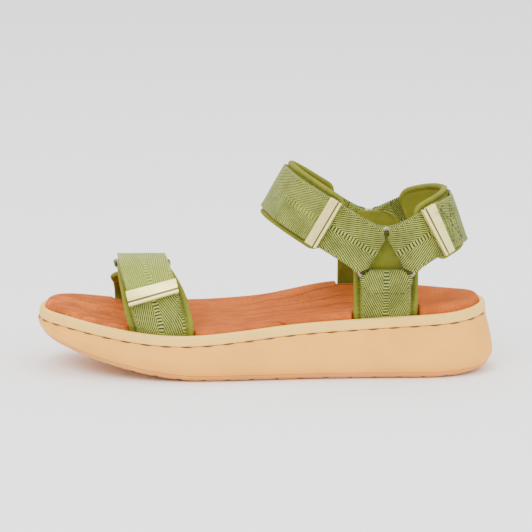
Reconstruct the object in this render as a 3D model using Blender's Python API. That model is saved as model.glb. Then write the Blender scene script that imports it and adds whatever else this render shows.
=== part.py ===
"""A strappy sport sandal for a left foot: a stitched cup sole, a suede footbed and webbing straps.

The toe points along -X, the outer side of the foot faces -Y, and the sole rests on Z = 0.
Every length below is in millimetres, and solid() turns them into metres.
"""

import math

import bmesh
import bpy
import numpy as np

MM = 0.001
GAP = 0.3  # between two pieces that touch
ROW_PITCH = 4.0  # along a strap, between the rows that all its layers share

# Plan outline of the sole at its widest level
SOLE_LENGTH = 265.0
FOREFOOT_WIDTH = 97.0
WAIST_WIDTH = 73.0
HEEL_WIDTH = 74.0
TOE_ROUND, TOE_POWER = 80.0, 2.4  # length of the rounded toe end, and how square it is
HEEL_ROUND, HEEL_POWER = 48.0, 2.3
MIDDLE_LINE = ((-1, 9), (-0.4, 2), (0.2, -3), (0.7, 0), (1, 0))
STATIONS = 36

# Side view of the sole: each table is (share of the half length, height)
OUTSOLE_THICKNESS = 3.8
SIDE_INSETS = (8.0, 4.5, 2.4, 0.9)  # ground, outsole's edge, its top, and the midsole just above it
WIDEST_HEIGHT = 9.5  # from the ground to the sole's widest level
TOE_SPRING, TOE_SPRING_START, TOE_SPRING_POWER = 18.5, -38.0, 1.5
HEEL_SPRING, HEEL_SPRING_START = 2.0, 95.0
RAND_TOP = ((-1, 35.2), (-0.89, 34.2), (-0.73, 31.3), (-0.59, 28.8), (-0.445, 27.1), (-0.3, 26.9),
            (-0.09, 29.3), (0.1, 32.2), (0.39, 34.9), (0.66, 36.8), (0.85, 38), (1, 40.2))
SIDE_FLARE = 2.5  # how far the side leans in, from the widest level up to the groove
FLARE = ((-1, 0.8), (-0.85, 1.6), (-0.6, SIDE_FLARE), (0.6, SIDE_FLARE), (0.9, 4), (1, 4.6))
RAND_HEIGHT = 6.0
RAND_WALL = 3.6
RAND_CROWN = 1.1  # rounding of the rand's outer top edge
GROOVE_DEPTH, GROOVE_MOUTH = 1.4, 1.4
THREAD_RADIUS, THREAD_SIDES = 0.35, 5
RECESS_DEPTH = 11.0
TREAD_PITCH, TREAD_WIDTH, TREAD_DEPTH = 14.0, 2.4, 1.2

# Footbed
BOARD_THICKNESS = 1.5
COVER_THICKNESS = 1.5
COVER_SKIRT = 5.0  # how far the cover reaches down its side below the rand's top
OUTER_RISE = ((-1, 4), (-0.6, 1.6), (-0.2, 1.9), (0.1, 2.3), (0.4, 3.8), (0.7, 4.8), (1, 4.5))
INNER_RISE = ((-1, 4), (-0.68, 2.7), (-0.29, 5), (0, 6.5), (0.32, 11.8), (0.6, 7), (0.83, 4.2), (1, 4.5))
DISH = ((-1, 0.8), (-0.3, 1.2), (0.3, 2.5), (0.75, 4.0), (1, 3.5))
ARCH_POWER = 1.6
SPINE_SHARE = 0.72
COVER_RINGS = (0.12, 0.35, 0.6)  # shares of the way from the footbed's edge to its spine

# Straps
WEBBING_WIDTH, WEBBING = 28.0, 1.4
PATCH_WIDTH, PATCH = 24.0, 0.6
LINING_WIDTH, LINING = 37.0, 1.8
PAD_WIDTH, PAD = 35.5, 3.0
POCKET_DEPTH = 9.5
FADE_HEIGHT = 10.0  # above the footbed's edge, where a strap no longer follows the sole's curve
TIP_WIDTH, TIP_LENGTH, TIP_PLATE = 29.5, 6.2, 0.6

# Rings
WIRE_RADIUS, WIRE_SIDES = 1.1, 8
RING_SIDE, RING_CORNER, CORNER_STEPS = 34.0, 2.0, 3
RING_SLACK = 1.2  # between a ring's wire and the webbing that loops round it
LOOP_TONGUE = 19.6  # webbing width at the far side of a ring's bar, clear of the next loop
BUCKLE_LENGTH, BUCKLE_WIDTH = 31.4, 9.5

# Where the straps meet the sole, and the rings' bars
FRONT_OUTER_X, FRONT_INNER_X = -59.0, -71.0
ANKLE_OUTER_X, ANKLE_INNER_X = 69.0, 61.0
RING_OUTER_Y, RING_INNER_Y = -33.5, 27.5
RING_BASE_Z = 60.0
LINING_TOP_Z = 88.0
TAIL_LENGTH = 11.0  # webbing folded back behind a ring's bar

# Along each strap from its outer end: the pad's two ends, as lengths from the two rings, the stub's
# end, the flap's hinge and the flap's end
INSTEP_STRAP = (26.0, 24.0, 48.0, 53.0, 28.0)
HEEL_STRAP = (16.0, 16.0, 32.0, 38.0, 20.0)
BUCKLE_S, FOREFOOT_TIP_S = 88.6, 30.0
FOREFOOT_TAPER_S, FOREFOOT_TOP_WIDTH = 24.0, 26.0  # where the lining narrows from, and to what

POCKET_MIDDLES = ((-1, FRONT_OUTER_X), (1, FRONT_INNER_X), (-1, ANKLE_OUTER_X), (1, ANKLE_INNER_X))
POCKET_GAP, POCKET_END_GAP = 0.6, 1.0
POCKET_STACK = POCKET_GAP + WEBBING + GAP + LINING + POCKET_GAP

LOOP_RADIUS = WIRE_RADIUS + RING_SLACK + WEBBING / 2
RING_HEIGHT = RING_SIDE * math.sin(math.radians(60))

# Layers of a fastened strap, as heights over its own middle surface
PAD_LEVEL = -GAP / 2 - PAD / 2
STRAP_LEVEL = GAP / 2 + WEBBING / 2
LOOP_LEVEL = STRAP_LEVEL + WEBBING / 2 + GAP + PATCH / 2
HOOK_LEVEL = LOOP_LEVEL + PATCH + GAP
FLAP_LEVEL = HOOK_LEVEL + PATCH / 2 + GAP + WEBBING / 2

FINISHES = {
    "outsole_rubber": ((0.74, 0.49, 0.24), 0.6, 0.0),
    "midsole_foam": ((0.80, 0.58, 0.33), 0.65, 0.0),
    "rand_foam": ((0.87, 0.69, 0.42), 0.6, 0.0),
    "thread": ((0.30, 0.14, 0.05), 0.8, 0.0),
    "board": ((0.55, 0.42, 0.28), 0.9, 0.0),
    "core_foam": ((0.60, 0.45, 0.30), 0.9, 0.0),
    "suede": ((0.58, 0.17, 0.05), 0.9, 0.0),
    "webbing": ((0.28, 0.34, 0.10), 0.75, 0.0),
    "lining": ((0.38, 0.46, 0.09), 0.85, 0.0),
    "fastener": ((0.22, 0.27, 0.08), 0.95, 0.0),
    "gold": ((0.90, 0.76, 0.45), 0.25, 1.0),
    "silver": ((0.80, 0.78, 0.72), 0.25, 1.0),
}


def clear_scene():
    for item in list(bpy.data.objects):
        bpy.data.objects.remove(item, do_unlink=True)


def material(name):
    found = bpy.data.materials.get(name)
    if found:
        return found
    colour, roughness, metallic = FINISHES[name]
    made = bpy.data.materials.new(name)
    made.use_nodes = True
    shader = made.node_tree.nodes["Principled BSDF"]
    shader.inputs["Base Color"].default_value = (*colour, 1.0)
    shader.inputs["Roughness"].default_value = roughness
    shader.inputs["Metallic"].default_value = metallic
    made.diffuse_color = (*colour, 1.0)
    return made


def solid(name, points, faces, finish, origin=(0, 0, 0)):
    """One closed body, with its object's origin at the given place, centred across the sole's width."""
    origin = np.asarray(origin, float)
    mesh = bpy.data.meshes.new(name)
    mesh.from_pydata([tuple((np.asarray(p) - origin) * MM) for p in points], [], faces)
    shape = bmesh.new()
    shape.from_mesh(mesh)
    bmesh.ops.recalc_face_normals(shape, faces=shape.faces)
    shape.to_mesh(mesh)
    shape.free()
    mesh.shade_smooth()
    mesh.set_sharp_from_angle(angle=math.radians(35))
    mesh.materials.append(material(finish))
    made = bpy.data.objects.new(name, mesh)
    made.location = (origin - [0, CENTRE_Y, 0]) * MM
    bpy.context.scene.collection.objects.link(made)
    return made


def smooth(table, x):
    """The value at x of the smooth curve through a table of (x, value)."""
    knots, values = np.array(table, float).T
    slopes = np.gradient(values, knots)
    x = np.clip(x, knots[0], knots[-1])
    i = np.clip(np.searchsorted(knots, x, side="right") - 1, 0, len(knots) - 2)
    span = knots[i + 1] - knots[i]
    t = (x - knots[i]) / span
    return ((2 * t**3 - 3 * t**2 + 1) * values[i] + (t**3 - 2 * t**2 + t) * span * slopes[i]
            + (3 * t**2 - 2 * t**3) * values[i + 1] + (t**3 - t**2) * span * slopes[i + 1])


def by_share(table, x):
    return smooth(table, np.asarray(x, float) / (SOLE_LENGTH / 2))


# ---------------------------------------------------------------- sole outline and heights


def end_round(x):
    """How much of the full width the rounded toe or heel leaves at x, from 1 down to 0."""
    x = np.asarray(x, float)
    toe = np.clip((-x - (SOLE_LENGTH / 2 - TOE_ROUND)) / TOE_ROUND, 0, 1)
    heel = np.clip((x - (SOLE_LENGTH / 2 - HEEL_ROUND)) / HEEL_ROUND, 0, 1)
    return (1 - toe**TOE_POWER) ** (1 / TOE_POWER) * (1 - heel**HEEL_POWER) ** (1 / HEEL_POWER)


def half_width(x):
    widths = ((-1, 0.9 * FOREFOOT_WIDTH), (-0.38, FOREFOOT_WIDTH), (0.25, WAIST_WIDTH),
              (0.7, HEEL_WIDTH), (1, HEEL_WIDTH))
    return by_share(widths, x) / 2 * end_round(x)


def side_y(x, side):
    return by_share(MIDDLE_LINE, x) + side * half_width(x)


def inward_at(x, side):
    """The unit vector that points into the sole, square to the outline, at x on one side."""
    step = 0.01
    slope = (side_y(x + step, side) - side_y(x - step, side)) / (2 * step)
    inward = np.stack([side * slope, -side * np.ones_like(slope)], axis=-1)
    return inward / np.linalg.norm(inward, axis=-1, keepdims=True)


def pocket_ends():
    """X on the outline of each end of each strap's pocket: its side, then the front and rear ends.

    An end is set so that it lies beside the lining once the outline is moved in to the footbed's edge.
    """
    inset = SIDE_FLARE + RAND_WALL + POCKET_STACK
    half = LINING_WIDTH / 2 + POCKET_END_GAP
    ends = []
    for side, middle in POCKET_MIDDLES:
        front, rear = (middle + end * half for end in (-1, 1))
        ends.append((side, *(x - inset * float(inward_at(np.array(x), side)[0]) for x in (front, rear))))
    return ends


def station_xs():
    """X of each outline point between the tips, close together at the ends and at pocket walls."""
    wall, clear = 0.4, 2.5
    edges = [x for _, *ends in pocket_ends() for x in ends]
    even = [-math.cos(math.pi * i / STATIONS) * SOLE_LENGTH / 2 for i in range(1, STATIONS)]
    kept = [x for x in even if min(abs(x - edge) for edge in edges) > clear]
    return np.array(sorted(kept + [edge + d for edge in edges for d in (-wall, wall)]))


XS = station_xs()
LOOP_X = np.concatenate([[-SOLE_LENGTH / 2], XS, [SOLE_LENGTH / 2], XS[::-1]])
LOOP_SIDE = np.concatenate([[0], -np.ones(len(XS)), [0], np.ones(len(XS))])


OUTLINE = np.stack([LOOP_X, side_y(LOOP_X, LOOP_SIDE)], axis=1)
CENTRE_Y = (OUTLINE[:, 1].min() + OUTLINE[:, 1].max()) / 2
INWARD = np.zeros_like(OUTLINE)
INWARD[LOOP_SIDE != 0] = inward_at(LOOP_X[LOOP_SIDE != 0], LOOP_SIDE[LOOP_SIDE != 0])
INWARD[LOOP_SIDE == 0] = [[1, 0], [-1, 0]]


def loop(inset, height):
    """The outline moved in by inset, at the given height: either may vary from point to point."""
    plan = OUTLINE + INWARD * np.broadcast_to(inset, len(OUTLINE))[:, None]
    return np.column_stack([plan, np.broadcast_to(height, len(OUTLINE))])


def bottom_z(x):
    toe = np.clip((TOE_SPRING_START - x) / (TOE_SPRING_START + SOLE_LENGTH / 2), 0, 1)
    heel = np.clip((x - HEEL_SPRING_START) / (SOLE_LENGTH / 2 - HEEL_SPRING_START), 0, 1)
    return TOE_SPRING * toe**TOE_SPRING_POWER + HEEL_SPRING * heel**2


BOTTOM = bottom_z(LOOP_X)
TOP = by_share(RAND_TOP, LOOP_X)
FLARES = by_share(FLARE, LOOP_X)
SEAM = TOP - RAND_HEIGHT  # height of the stitched groove
FLOOR = TOP - RECESS_DEPTH
WALL = FLARES + RAND_WALL  # inset of the rand's inner wall


def stacked(name, loops, finish, ring=False):
    """A solid through loops of matching points: capped at both ends, or a ring that closes on itself."""
    count = len(loops[0])
    points = np.concatenate(loops)
    faces = []
    for k in range(len(loops) if ring else len(loops) - 1):
        a, b = k * count, (k + 1) % len(loops) * count
        faces += [(a + i, a + (i + 1) % count, b + (i + 1) % count, b + i) for i in range(count)]
    if not ring:
        half = count // 2
        for base in (0, (len(loops) - 1) * count):
            ladder = [(0, 1, count - 1), (half - 1, half, half + 1)]
            ladder += [(i, i + 1, count - i - 1, count - i) for i in range(1, half - 1)]
            faces += [tuple(base + i for i in face) for face in ladder]
    return solid(name, points, faces, finish)


# ---------------------------------------------------------------- sole pieces


def tread_cutter():
    """Straight bars across the sole, one for each groove of the tread."""
    points, faces = [], []
    corners = [(-1, -1), (1, -1), (1, 1), (-1, 1)]
    reach = FOREFOOT_WIDTH
    count = int(SOLE_LENGTH / TREAD_PITCH)
    for i in range(count):
        x = (i - (count - 1) / 2) * TREAD_PITCH
        roof = float(bottom_z(np.array([x]))[0]) + TREAD_DEPTH
        base = len(points)
        for z in (roof - 4 * TREAD_DEPTH, roof):
            points += [(x + cx * TREAD_WIDTH / 2, cy * reach, z) for cx, cy in corners]
        faces += [(base, base + 3, base + 2, base + 1), (base + 4, base + 5, base + 6, base + 7)]
        faces += [(base + j, base + (j + 1) % 4, base + 4 + (j + 1) % 4, base + 4 + j) for j in range(4)]
    cutter = solid("tread_cutter", points, faces, "outsole_rubber")
    cutter.hide_render = True
    cutter.display_type = "WIRE"
    return cutter


def make_outsole():
    ground, edge, top, _ = SIDE_INSETS
    outsole = stacked("outsole", [
        loop(ground, BOTTOM), loop(edge, BOTTOM + OUTSOLE_THICKNESS / 3),
        loop(top, BOTTOM + OUTSOLE_THICKNESS),
    ], "outsole_rubber")
    cut = outsole.modifiers.new("tread", "BOOLEAN")
    cut.operation = "DIFFERENCE"
    cut.object = tread_cutter()


def make_midsole():
    base = BOTTOM + OUTSOLE_THICKNESS + GAP
    widest = BOTTOM + WIDEST_HEIGHT
    lip = SEAM - GROOVE_MOUTH / 2
    rest = SEAM - GAP / 2
    stacked("midsole", [
        loop(SIDE_INSETS[2], base), loop(SIDE_INSETS[3], (base * 3 + widest * 2) / 5), loop(0.0, widest),
        loop(FLARES * 0.45, (widest + lip) / 2), loop(FLARES, lip), loop(FLARES + GROOVE_DEPTH, rest),
        loop(WALL, rest), loop(WALL, FLOOR),
    ], "midsole_foam")


def make_rand():
    stacked("rand_band", [
        loop(WALL, SEAM + GAP / 2), loop(FLARES + GROOVE_DEPTH, SEAM + GAP / 2),
        loop(FLARES, SEAM + GROOVE_MOUTH / 2), loop(FLARES + RAND_CROWN / 5, TOP - RAND_CROWN),
        loop(FLARES + RAND_CROWN, TOP), loop(WALL - RAND_CROWN / 2, TOP), loop(WALL, TOP - RAND_CROWN / 2),
    ], "rand_foam", ring=True)
    middle = FLARES + THREAD_RADIUS
    turns = [2 * math.pi * i / THREAD_SIDES for i in range(THREAD_SIDES)]
    stacked("rand_stitching", [
        loop(middle + THREAD_RADIUS * math.cos(a), SEAM + THREAD_RADIUS * math.sin(a)) for a in turns
    ], "thread", ring=True)


def footbed_inset():
    """The footbed's edge stands in from the rand's wall, and further in behind each strap."""
    inset = WALL + GAP
    for side, front, rear in pocket_ends():
        behind = (LOOP_SIDE == side) & (LOOP_X > front) & (LOOP_X < rear)
        inset = np.where(behind, WALL + POCKET_STACK, inset)
    return inset


EDGE = footbed_inset()


def top_ring(inward, drop=0.0):
    """A loop of the footbed's upper surface, from its edge (inward 0) towards its middle (1)."""
    edge = loop((WALL + POCKET_STACK if inward else EDGE) + COVER_THICKNESS * 2, 0)
    middle_x = edge[:, 0] * SPINE_SHARE
    spine = np.column_stack([middle_x, by_share(MIDDLE_LINE, middle_x)])
    plan = edge[:, :2] * (1 - inward) + spine * inward
    x = plan[:, 0]
    across = np.clip((plan[:, 1] - by_share(MIDDLE_LINE, x)) / np.maximum(half_width(x), 1) / 0.8, -1, 1)
    outer = by_share(RAND_TOP, x) + by_share(OUTER_RISE, x)
    inner = by_share(RAND_TOP, x) + by_share(INNER_RISE, x)
    share = ((across + 1) / 2) ** ARCH_POWER
    dip = by_share(DISH, x) * (1 - (1 - inward) ** 2)
    return np.column_stack([plan, outer + (inner - outer) * share - dip - drop])


def make_footbed():
    board_top = FLOOR + GAP + BOARD_THICKNESS
    stacked("insole_board", [loop(EDGE, FLOOR + GAP), loop(EDGE, board_top)], "board")
    crest = top_ring(0)
    skirt = TOP - COVER_SKIRT
    inner = EDGE + COVER_THICKNESS + 4 * GAP
    thick = COVER_THICKNESS + 2.5 * GAP
    stacked("footbed_core", [
        loop(EDGE, board_top + GAP), loop(EDGE, skirt - GAP), loop(inner, skirt - GAP),
        loop(inner, crest[:, 2] - 2 * thick), top_ring(0, thick),
    ] + [top_ring(r, thick) for r in COVER_RINGS], "core_foam")
    under = EDGE + COVER_THICKNESS
    stacked("footbed_cover", [top_ring(r, COVER_THICKNESS) for r in COVER_RINGS[::-1]] + [
        top_ring(0, COVER_THICKNESS), loop(under, crest[:, 2] - 2 * COVER_THICKNESS), loop(under, skirt),
        loop(EDGE, skirt), loop(EDGE, crest[:, 2] - 2.6), loop(EDGE + 0.9, crest[:, 2] - 0.8), crest,
    ] + [top_ring(r) for r in COVER_RINGS], "suede")


def wall_y(x, side):
    """Y of the rand's inner wall at x."""
    wall = loop(WALL, 0)[LOOP_SIDE == side]
    order = np.argsort(wall[:, 0])
    return np.interp(x, wall[order, 0], wall[order, 1])


# ---------------------------------------------------------------- strap routes


class Route:
    """A strap's middle surface: a smooth line, the direction of its width, and the way out from the foot."""

    def __init__(self, points, sides, hand):
        points = np.array(points, float)
        chord = np.concatenate([[0], np.cumsum(np.linalg.norm(np.diff(points, axis=0), axis=1))])
        fine = np.linspace(0, chord[-1], 600)
        self.line = np.column_stack([smooth(list(zip(chord, points[:, k])), fine) for k in range(3)])
        steps = np.linalg.norm(np.diff(self.line, axis=0), axis=1)
        self.along = np.concatenate([[0], np.cumsum(steps)])
        self.length = self.along[-1]
        tangent = np.gradient(self.line, self.along, axis=0)
        self.tangent = tangent / np.linalg.norm(tangent, axis=1)[:, None]
        share = np.linspace(0, 1, len(sides))
        hint = np.column_stack([np.interp(fine / chord[-1], share, [s[k] for s in sides]) for k in range(3)])
        hint -= self.tangent * (hint * self.tangent).sum(axis=1)[:, None]
        self.side = hint / np.linalg.norm(hint, axis=1)[:, None]
        self.out = hand * np.cross(self.side, self.tangent)

    def look(self, field, s):
        return np.array([np.interp(s, self.along, field[:, k]) for k in range(3)])

    def at(self, s, level=0.0):
        """The point at s along the line and level out from it; past an end it runs on straight."""
        inside = min(max(s, 0.0), self.length)
        return (self.look(self.line, inside) + self.look(self.tangent, inside) * (s - inside)
                + self.look(self.out, inside) * level)

    def width_at(self, s):
        return self.look(self.side, min(max(s, 0.0), self.length))


def layer(name, route, rows, width, thickness, finish, columns=2, fit=None, origin=(0, 0, 0)):
    """A flat layer through rows of (s, level) or (s, level, width), half its thickness to each side."""
    rows = [(*row, width)[:3] for row in rows]
    spread = np.linspace(-0.5, 0.5, columns)
    grid = np.array([[route.at(s, level) + route.width_at(s) * wide * c for c in spread]
                     for s, level, wide in rows])
    if fit:
        grid = fit(grid)
    down = np.gradient(grid, axis=0)
    across = np.gradient(grid, axis=1)
    normal = np.cross(across, down)
    normal /= np.linalg.norm(normal, axis=2)[:, :, None]
    count = len(rows) * columns
    points = np.concatenate([(grid - normal * thickness / 2).reshape(-1, 3),
                             (grid + normal * thickness / 2).reshape(-1, 3)])
    faces = []
    for i in range(len(rows) - 1):
        for j in range(columns - 1):
            a = i * columns + j
            quad = (a, a + 1, a + columns + 1, a + columns)
            faces += [quad, tuple(count + k for k in quad)]
    last = (len(rows) - 1) * columns
    rim = list(range(columns)) + [i * columns + columns - 1 for i in range(1, len(rows))]
    rim += list(range(last + columns - 2, last - 1, -1)) + [i * columns for i in range(len(rows) - 2, 0, -1)]
    faces += [(a, b, count + b, count + a) for a, b in zip(rim, rim[1:] + rim[:1])]
    return solid(name, points, faces, finish, origin)


def span(start, end, level):
    """Rows from start to end at one level, on the strap's shared rows and at both ends."""
    low, high = sorted((start, end))
    shared = [k * ROW_PITCH for k in range(int(high / ROW_PITCH) + 2)]
    inner = [s for s in shared if low + ROW_PITCH / 4 < s < high - ROW_PITCH / 4]
    rows = [(s, level) for s in [low, *inner, high]]
    return rows if start < end else rows[::-1]


def turn_round(bar, level, heading, tail):
    """Rows of a layer that loops round a bar at (bar, level): its tail, then the turn, up to the main run."""
    gathered = 12.0
    rows = [(bar + heading * tail, level - STRAP_LEVEL - GAP / 4),
            (bar + heading * gathered / 2, level - LOOP_RADIUS * 0.86)]
    steps = 7
    for i in range(steps):
        angle = math.pi * i / (steps - 1)
        back = LOOP_RADIUS * math.sin(angle)
        wide = WEBBING_WIDTH - (WEBBING_WIDTH - LOOP_TONGUE) * back / LOOP_RADIUS
        rows.append((bar - heading * back, level - LOOP_RADIUS * math.cos(angle), wide))
    return rows + [(bar + heading * gathered / 2, level + LOOP_RADIUS * 0.86)]


def flap_rows(fold, tip_end):
    """A flap's rows from its fold to its end, on the same rows as its metal tip."""
    mouth = tip_end + TIP_LENGTH
    return span(fold, mouth, FLAP_LEVEL) + [(mouth - TIP_LENGTH / 2, FLAP_LEVEL), (tip_end, FLAP_LEVEL)]


def tip(name, route, end, origin, columns):
    """A metal clip folded round the end of a flap, which ends at the given s."""
    outer, inner = FLAP_LEVEL + WEBBING / 2 + GAP, FLAP_LEVEL - WEBBING / 2 - GAP
    edge, mouth = end - GAP, end + TIP_LENGTH
    nose, middle = edge - TIP_PLATE, mouth - TIP_LENGTH / 2
    profile = [(mouth, outer + TIP_PLATE), (middle, outer + TIP_PLATE), (nose, outer + TIP_PLATE),
               (nose, inner - TIP_PLATE), (middle, inner - TIP_PLATE), (mouth, inner - TIP_PLATE),
               (mouth, inner), (middle, inner), (edge, inner), (edge, outer), (middle, outer), (mouth, outer)]
    points = [route.at(s, level) + route.width_at(s) * TIP_WIDTH * c
              for c in np.linspace(-0.5, 0.5, columns) for s, level in profile]
    count = len(profile)
    last = (columns - 1) * count
    quads = [(i, i + 1, count - 2 - i, count - 1 - i) for i in range(count // 2 - 1)]
    faces = quads + [tuple(last + i for i in quad) for quad in quads]
    faces += [(k + i, k + (i + 1) % count, k + count + (i + 1) % count, k + count + i)
              for k in range(0, last, count) for i in range(count)]
    return solid(name, points, faces, "gold", origin)


def wire_ring(name, corners, finish, origin):
    """A closed ring of round wire with rounded corners; corners are points in the ring's own plane."""
    corners = [np.array(c, float) for c in corners]
    path = []
    for i, corner in enumerate(corners):
        before = corners[i - 1] - corner
        after = corners[(i + 1) % len(corners)] - corner
        before, after = before / np.linalg.norm(before), after / np.linalg.norm(after)
        half = math.acos(float(np.clip(before @ after, -1, 1))) / 2
        inwards = (before + after) / np.linalg.norm(before + after)
        centre = corner + inwards * RING_CORNER / math.sin(half)
        start = (corner + before * RING_CORNER / math.tan(half) - centre) / RING_CORNER
        stop = (corner + after * RING_CORNER / math.tan(half) - centre) / RING_CORNER
        swing = math.pi - 2 * half
        for k in range(CORNER_STEPS + 1):
            t = k / CORNER_STEPS
            mix = (math.sin((1 - t) * swing) * start + math.sin(t * swing) * stop) / math.sin(swing)
            path.append(centre + mix * RING_CORNER)
    normal = np.cross(corners[1] - corners[0], corners[2] - corners[0])
    normal /= np.linalg.norm(normal)
    points, faces = [], []
    count = len(path)
    for i, point in enumerate(path):
        along = path[(i + 1) % count] - path[i - 1]
        aside = np.cross(normal, along)
        aside /= np.linalg.norm(aside)
        for k in range(WIRE_SIDES):
            a = 2 * math.pi * k / WIRE_SIDES
            points.append(point + WIRE_RADIUS * (math.cos(a) * aside + math.sin(a) * normal))
        for k in range(WIRE_SIDES):
            j, n = (k + 1) % WIRE_SIDES, (i + 1) % count
            faces.append((i * WIRE_SIDES + k, i * WIRE_SIDES + j, n * WIRE_SIDES + j, n * WIRE_SIDES + k))
    return solid(name, points, faces, finish, origin)


def pocket_line(x, side):
    """Y of a strap's middle surface in its pocket, with the webbing just inside the rand's wall."""
    return float(wall_y(x, side)) - side * (POCKET_GAP + WEBBING + GAP / 2)


def pocket_floor(x):
    return float(by_share(RAND_TOP, x)) - POCKET_DEPTH


def edge_z(x, side):
    """Height of the footbed's rounded edge at x."""
    return float(by_share(RAND_TOP, x) + by_share(INNER_RISE if side > 0 else OUTER_RISE, x))


def follow_wall(side, middle):
    """A fit that bends a layer's rows to the sole's curved wall and floor, fading out over the footbed."""
    start = edge_z(middle, side)

    def fit(grid):
        bent = grid.copy()
        x = grid[:, :, 0]
        fade = np.clip((start + FADE_HEIGHT - grid[:, :, 2]) / FADE_HEIGHT, 0, 1)
        bent[:, :, 1] += (wall_y(x, side) - wall_y(middle, side)) * fade
        bent[:, :, 2] += (by_share(RAND_TOP, x) - by_share(RAND_TOP, middle)) * fade
        return bent
    return fit


# ---------------------------------------------------------------- anchors and triangular rings


def anchor(prefix, x, ring_y, side):
    """The lining and looped webbing that hold an ankle ring to the sole, and the ring."""
    foot_z = pocket_floor(x)
    shift = side * (pocket_line(x, side) - ring_y)
    route = Route([(x, ring_y, foot_z), (x, ring_y, RING_BASE_Z + RING_HEIGHT)], [(1, 0, 0)] * 2, -side)
    bar, edge = RING_BASE_Z - foot_z, edge_z(x, side) - foot_z
    fit = follow_wall(side, x)
    sunk = shift + STRAP_LEVEL
    layer(prefix + "_anchor_webbing", route, turn_round(bar, 0, -1, 9) + [(bar - 11, STRAP_LEVEL)]
          + span(edge, 0, sunk), WEBBING_WIDTH, WEBBING, "webbing", columns=5, fit=fit)
    behind = LOOP_RADIUS + WEBBING / 2 + GAP + LINING / 2
    tail = min(shift - GAP / 2, -STRAP_LEVEL - WEBBING / 2 - GAP) - LINING / 2
    top = LINING_TOP_Z - foot_z
    layer(prefix + "_anchor_lining", route, span(0, edge, shift - GAP / 2 - LINING / 2) + [
        (bar - 10, tail - GAP), (bar - 5, -behind), (bar + 8, -behind),
        (top - 9, -behind), (top - 4, -behind, 33), (top - 1.2, -behind, 26), (top, -behind, 19),
    ], LINING_WIDTH, LINING, "lining", columns=5, fit=fit)
    half = RING_SIDE / 2
    wire_ring(prefix + "_ring", [(x - half, ring_y, RING_BASE_Z), (x + half, ring_y, RING_BASE_Z),
                                 (x, ring_y, RING_BASE_Z + RING_HEIGHT)], "silver", (x, ring_y, RING_BASE_Z))


# ---------------------------------------------------------------- ankle straps


def ankle_strap(prefix, route, places):
    """A strap from the outer ring round to the inner one, whose flap closes over the outer stub.

    The flap is hinged at fold and ends at tip_end, nearer the outer ring, and the stub under it
    ends at stub_end.
    """
    pad_from, pad_short, stub_end, fold, tip_end = places
    layer(prefix + "_pad", route, span(pad_from, route.length - pad_short, PAD_LEVEL), PAD_WIDTH, PAD, "lining")
    layer(prefix + "_stub", route, turn_round(0, 0, 1, TAIL_LENGTH) + [(12, STRAP_LEVEL)]
          + span(16, stub_end, STRAP_LEVEL), WEBBING_WIDTH, WEBBING, "webbing")
    layer(prefix + "_loop_patch", route, span(tip_end + 1, stub_end - 1, LOOP_LEVEL),
          PATCH_WIDTH, PATCH, "fastener")
    end = route.length
    lift = fold + 15
    layer(prefix + "_inner_webbing", route, turn_round(end, 0, -1, TAIL_LENGTH) + [(end - 12, STRAP_LEVEL)]
          + span(end - 16, lift, STRAP_LEVEL) + [(fold + 8, (STRAP_LEVEL + FLAP_LEVEL) / 2)]
          + span(fold + 3, fold + GAP / 2, FLAP_LEVEL), WEBBING_WIDTH, WEBBING, "webbing")
    hinge = route.at(fold, FLAP_LEVEL + WEBBING / 2)
    layer(prefix + "_flap", route, flap_rows(fold - GAP / 2, tip_end),
          WEBBING_WIDTH, WEBBING, "webbing", origin=hinge)
    layer(prefix + "_hook_patch", route, span(fold - 5, tip_end + TIP_LENGTH + GAP, HOOK_LEVEL),
          PATCH_WIDTH, PATCH, "fastener", origin=hinge)
    tip(prefix + "_tip", route, tip_end, hinge, 2)


def instep_route():
    """Slopes up and forward from the rings, square to their front sides, round the instep."""
    along = np.array([-math.cos(math.radians(30)), 0, 0.5])
    wide = np.array([0.5, 0, math.cos(math.radians(30))])
    start = np.array([ANKLE_OUTER_X - RING_SIDE / 4, 0, RING_BASE_Z + RING_HEIGHT / 2])
    offset = ANKLE_OUTER_X - ANKLE_INNER_X
    last = (offset * along[0] * -1, RING_INNER_Y, -offset * wide[0])
    knots = [(0, RING_OUTER_Y, 0), (15, RING_OUTER_Y + 1.3, 0), (30, -28.5, 0), (42, -23.5, 0), (53, -16.5, 0),
             (60.6, -8.5, 0), (63.3, 0, 0), (60.6, 8.5, -0.5), (53, 15.5, -1.2), (40, 20.5, -2.2),
             (25, RING_INNER_Y - 2.2, -3.4), last]
    points = [start + along * s + wide * w + np.array([0, y, 0]) for s, y, w in knots]
    return Route(points, [wide] * 2, 1)


def heel_route():
    """Slopes up and back from the rings, square to their rear sides, round the heel."""
    wide = (-0.5, 0, math.cos(math.radians(30)))
    middle = RING_BASE_Z + RING_HEIGHT / 2
    first = ANKLE_OUTER_X + RING_SIDE / 4
    final = ANKLE_INNER_X + RING_SIDE / 4
    points = [(first, RING_OUTER_Y, middle), (first + 11, RING_OUTER_Y + 0.8, middle + 6.3),
              (first + 20.3, -27.5, middle + 11.3), (first + 28.3, -18, middle + 14.3),
              (first + 31.8, -6, middle + 15.3), (first + 31.8, 4, middle + 15.3),
              (first + 27.8, 15.5, middle + 14.6), (first + 18.3, 23.5, middle + 12.3),
              (final + 11, RING_INNER_Y - 0.8, middle + 6.3), (final, RING_INNER_Y, middle)]
    upright = (-0.28, 0, 0.96)
    return Route(points, [wide, (-0.4, 0, 0.92), upright, (-0.4, 0, 0.92), wide], -1)


# ---------------------------------------------------------------- forefoot strap


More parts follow.
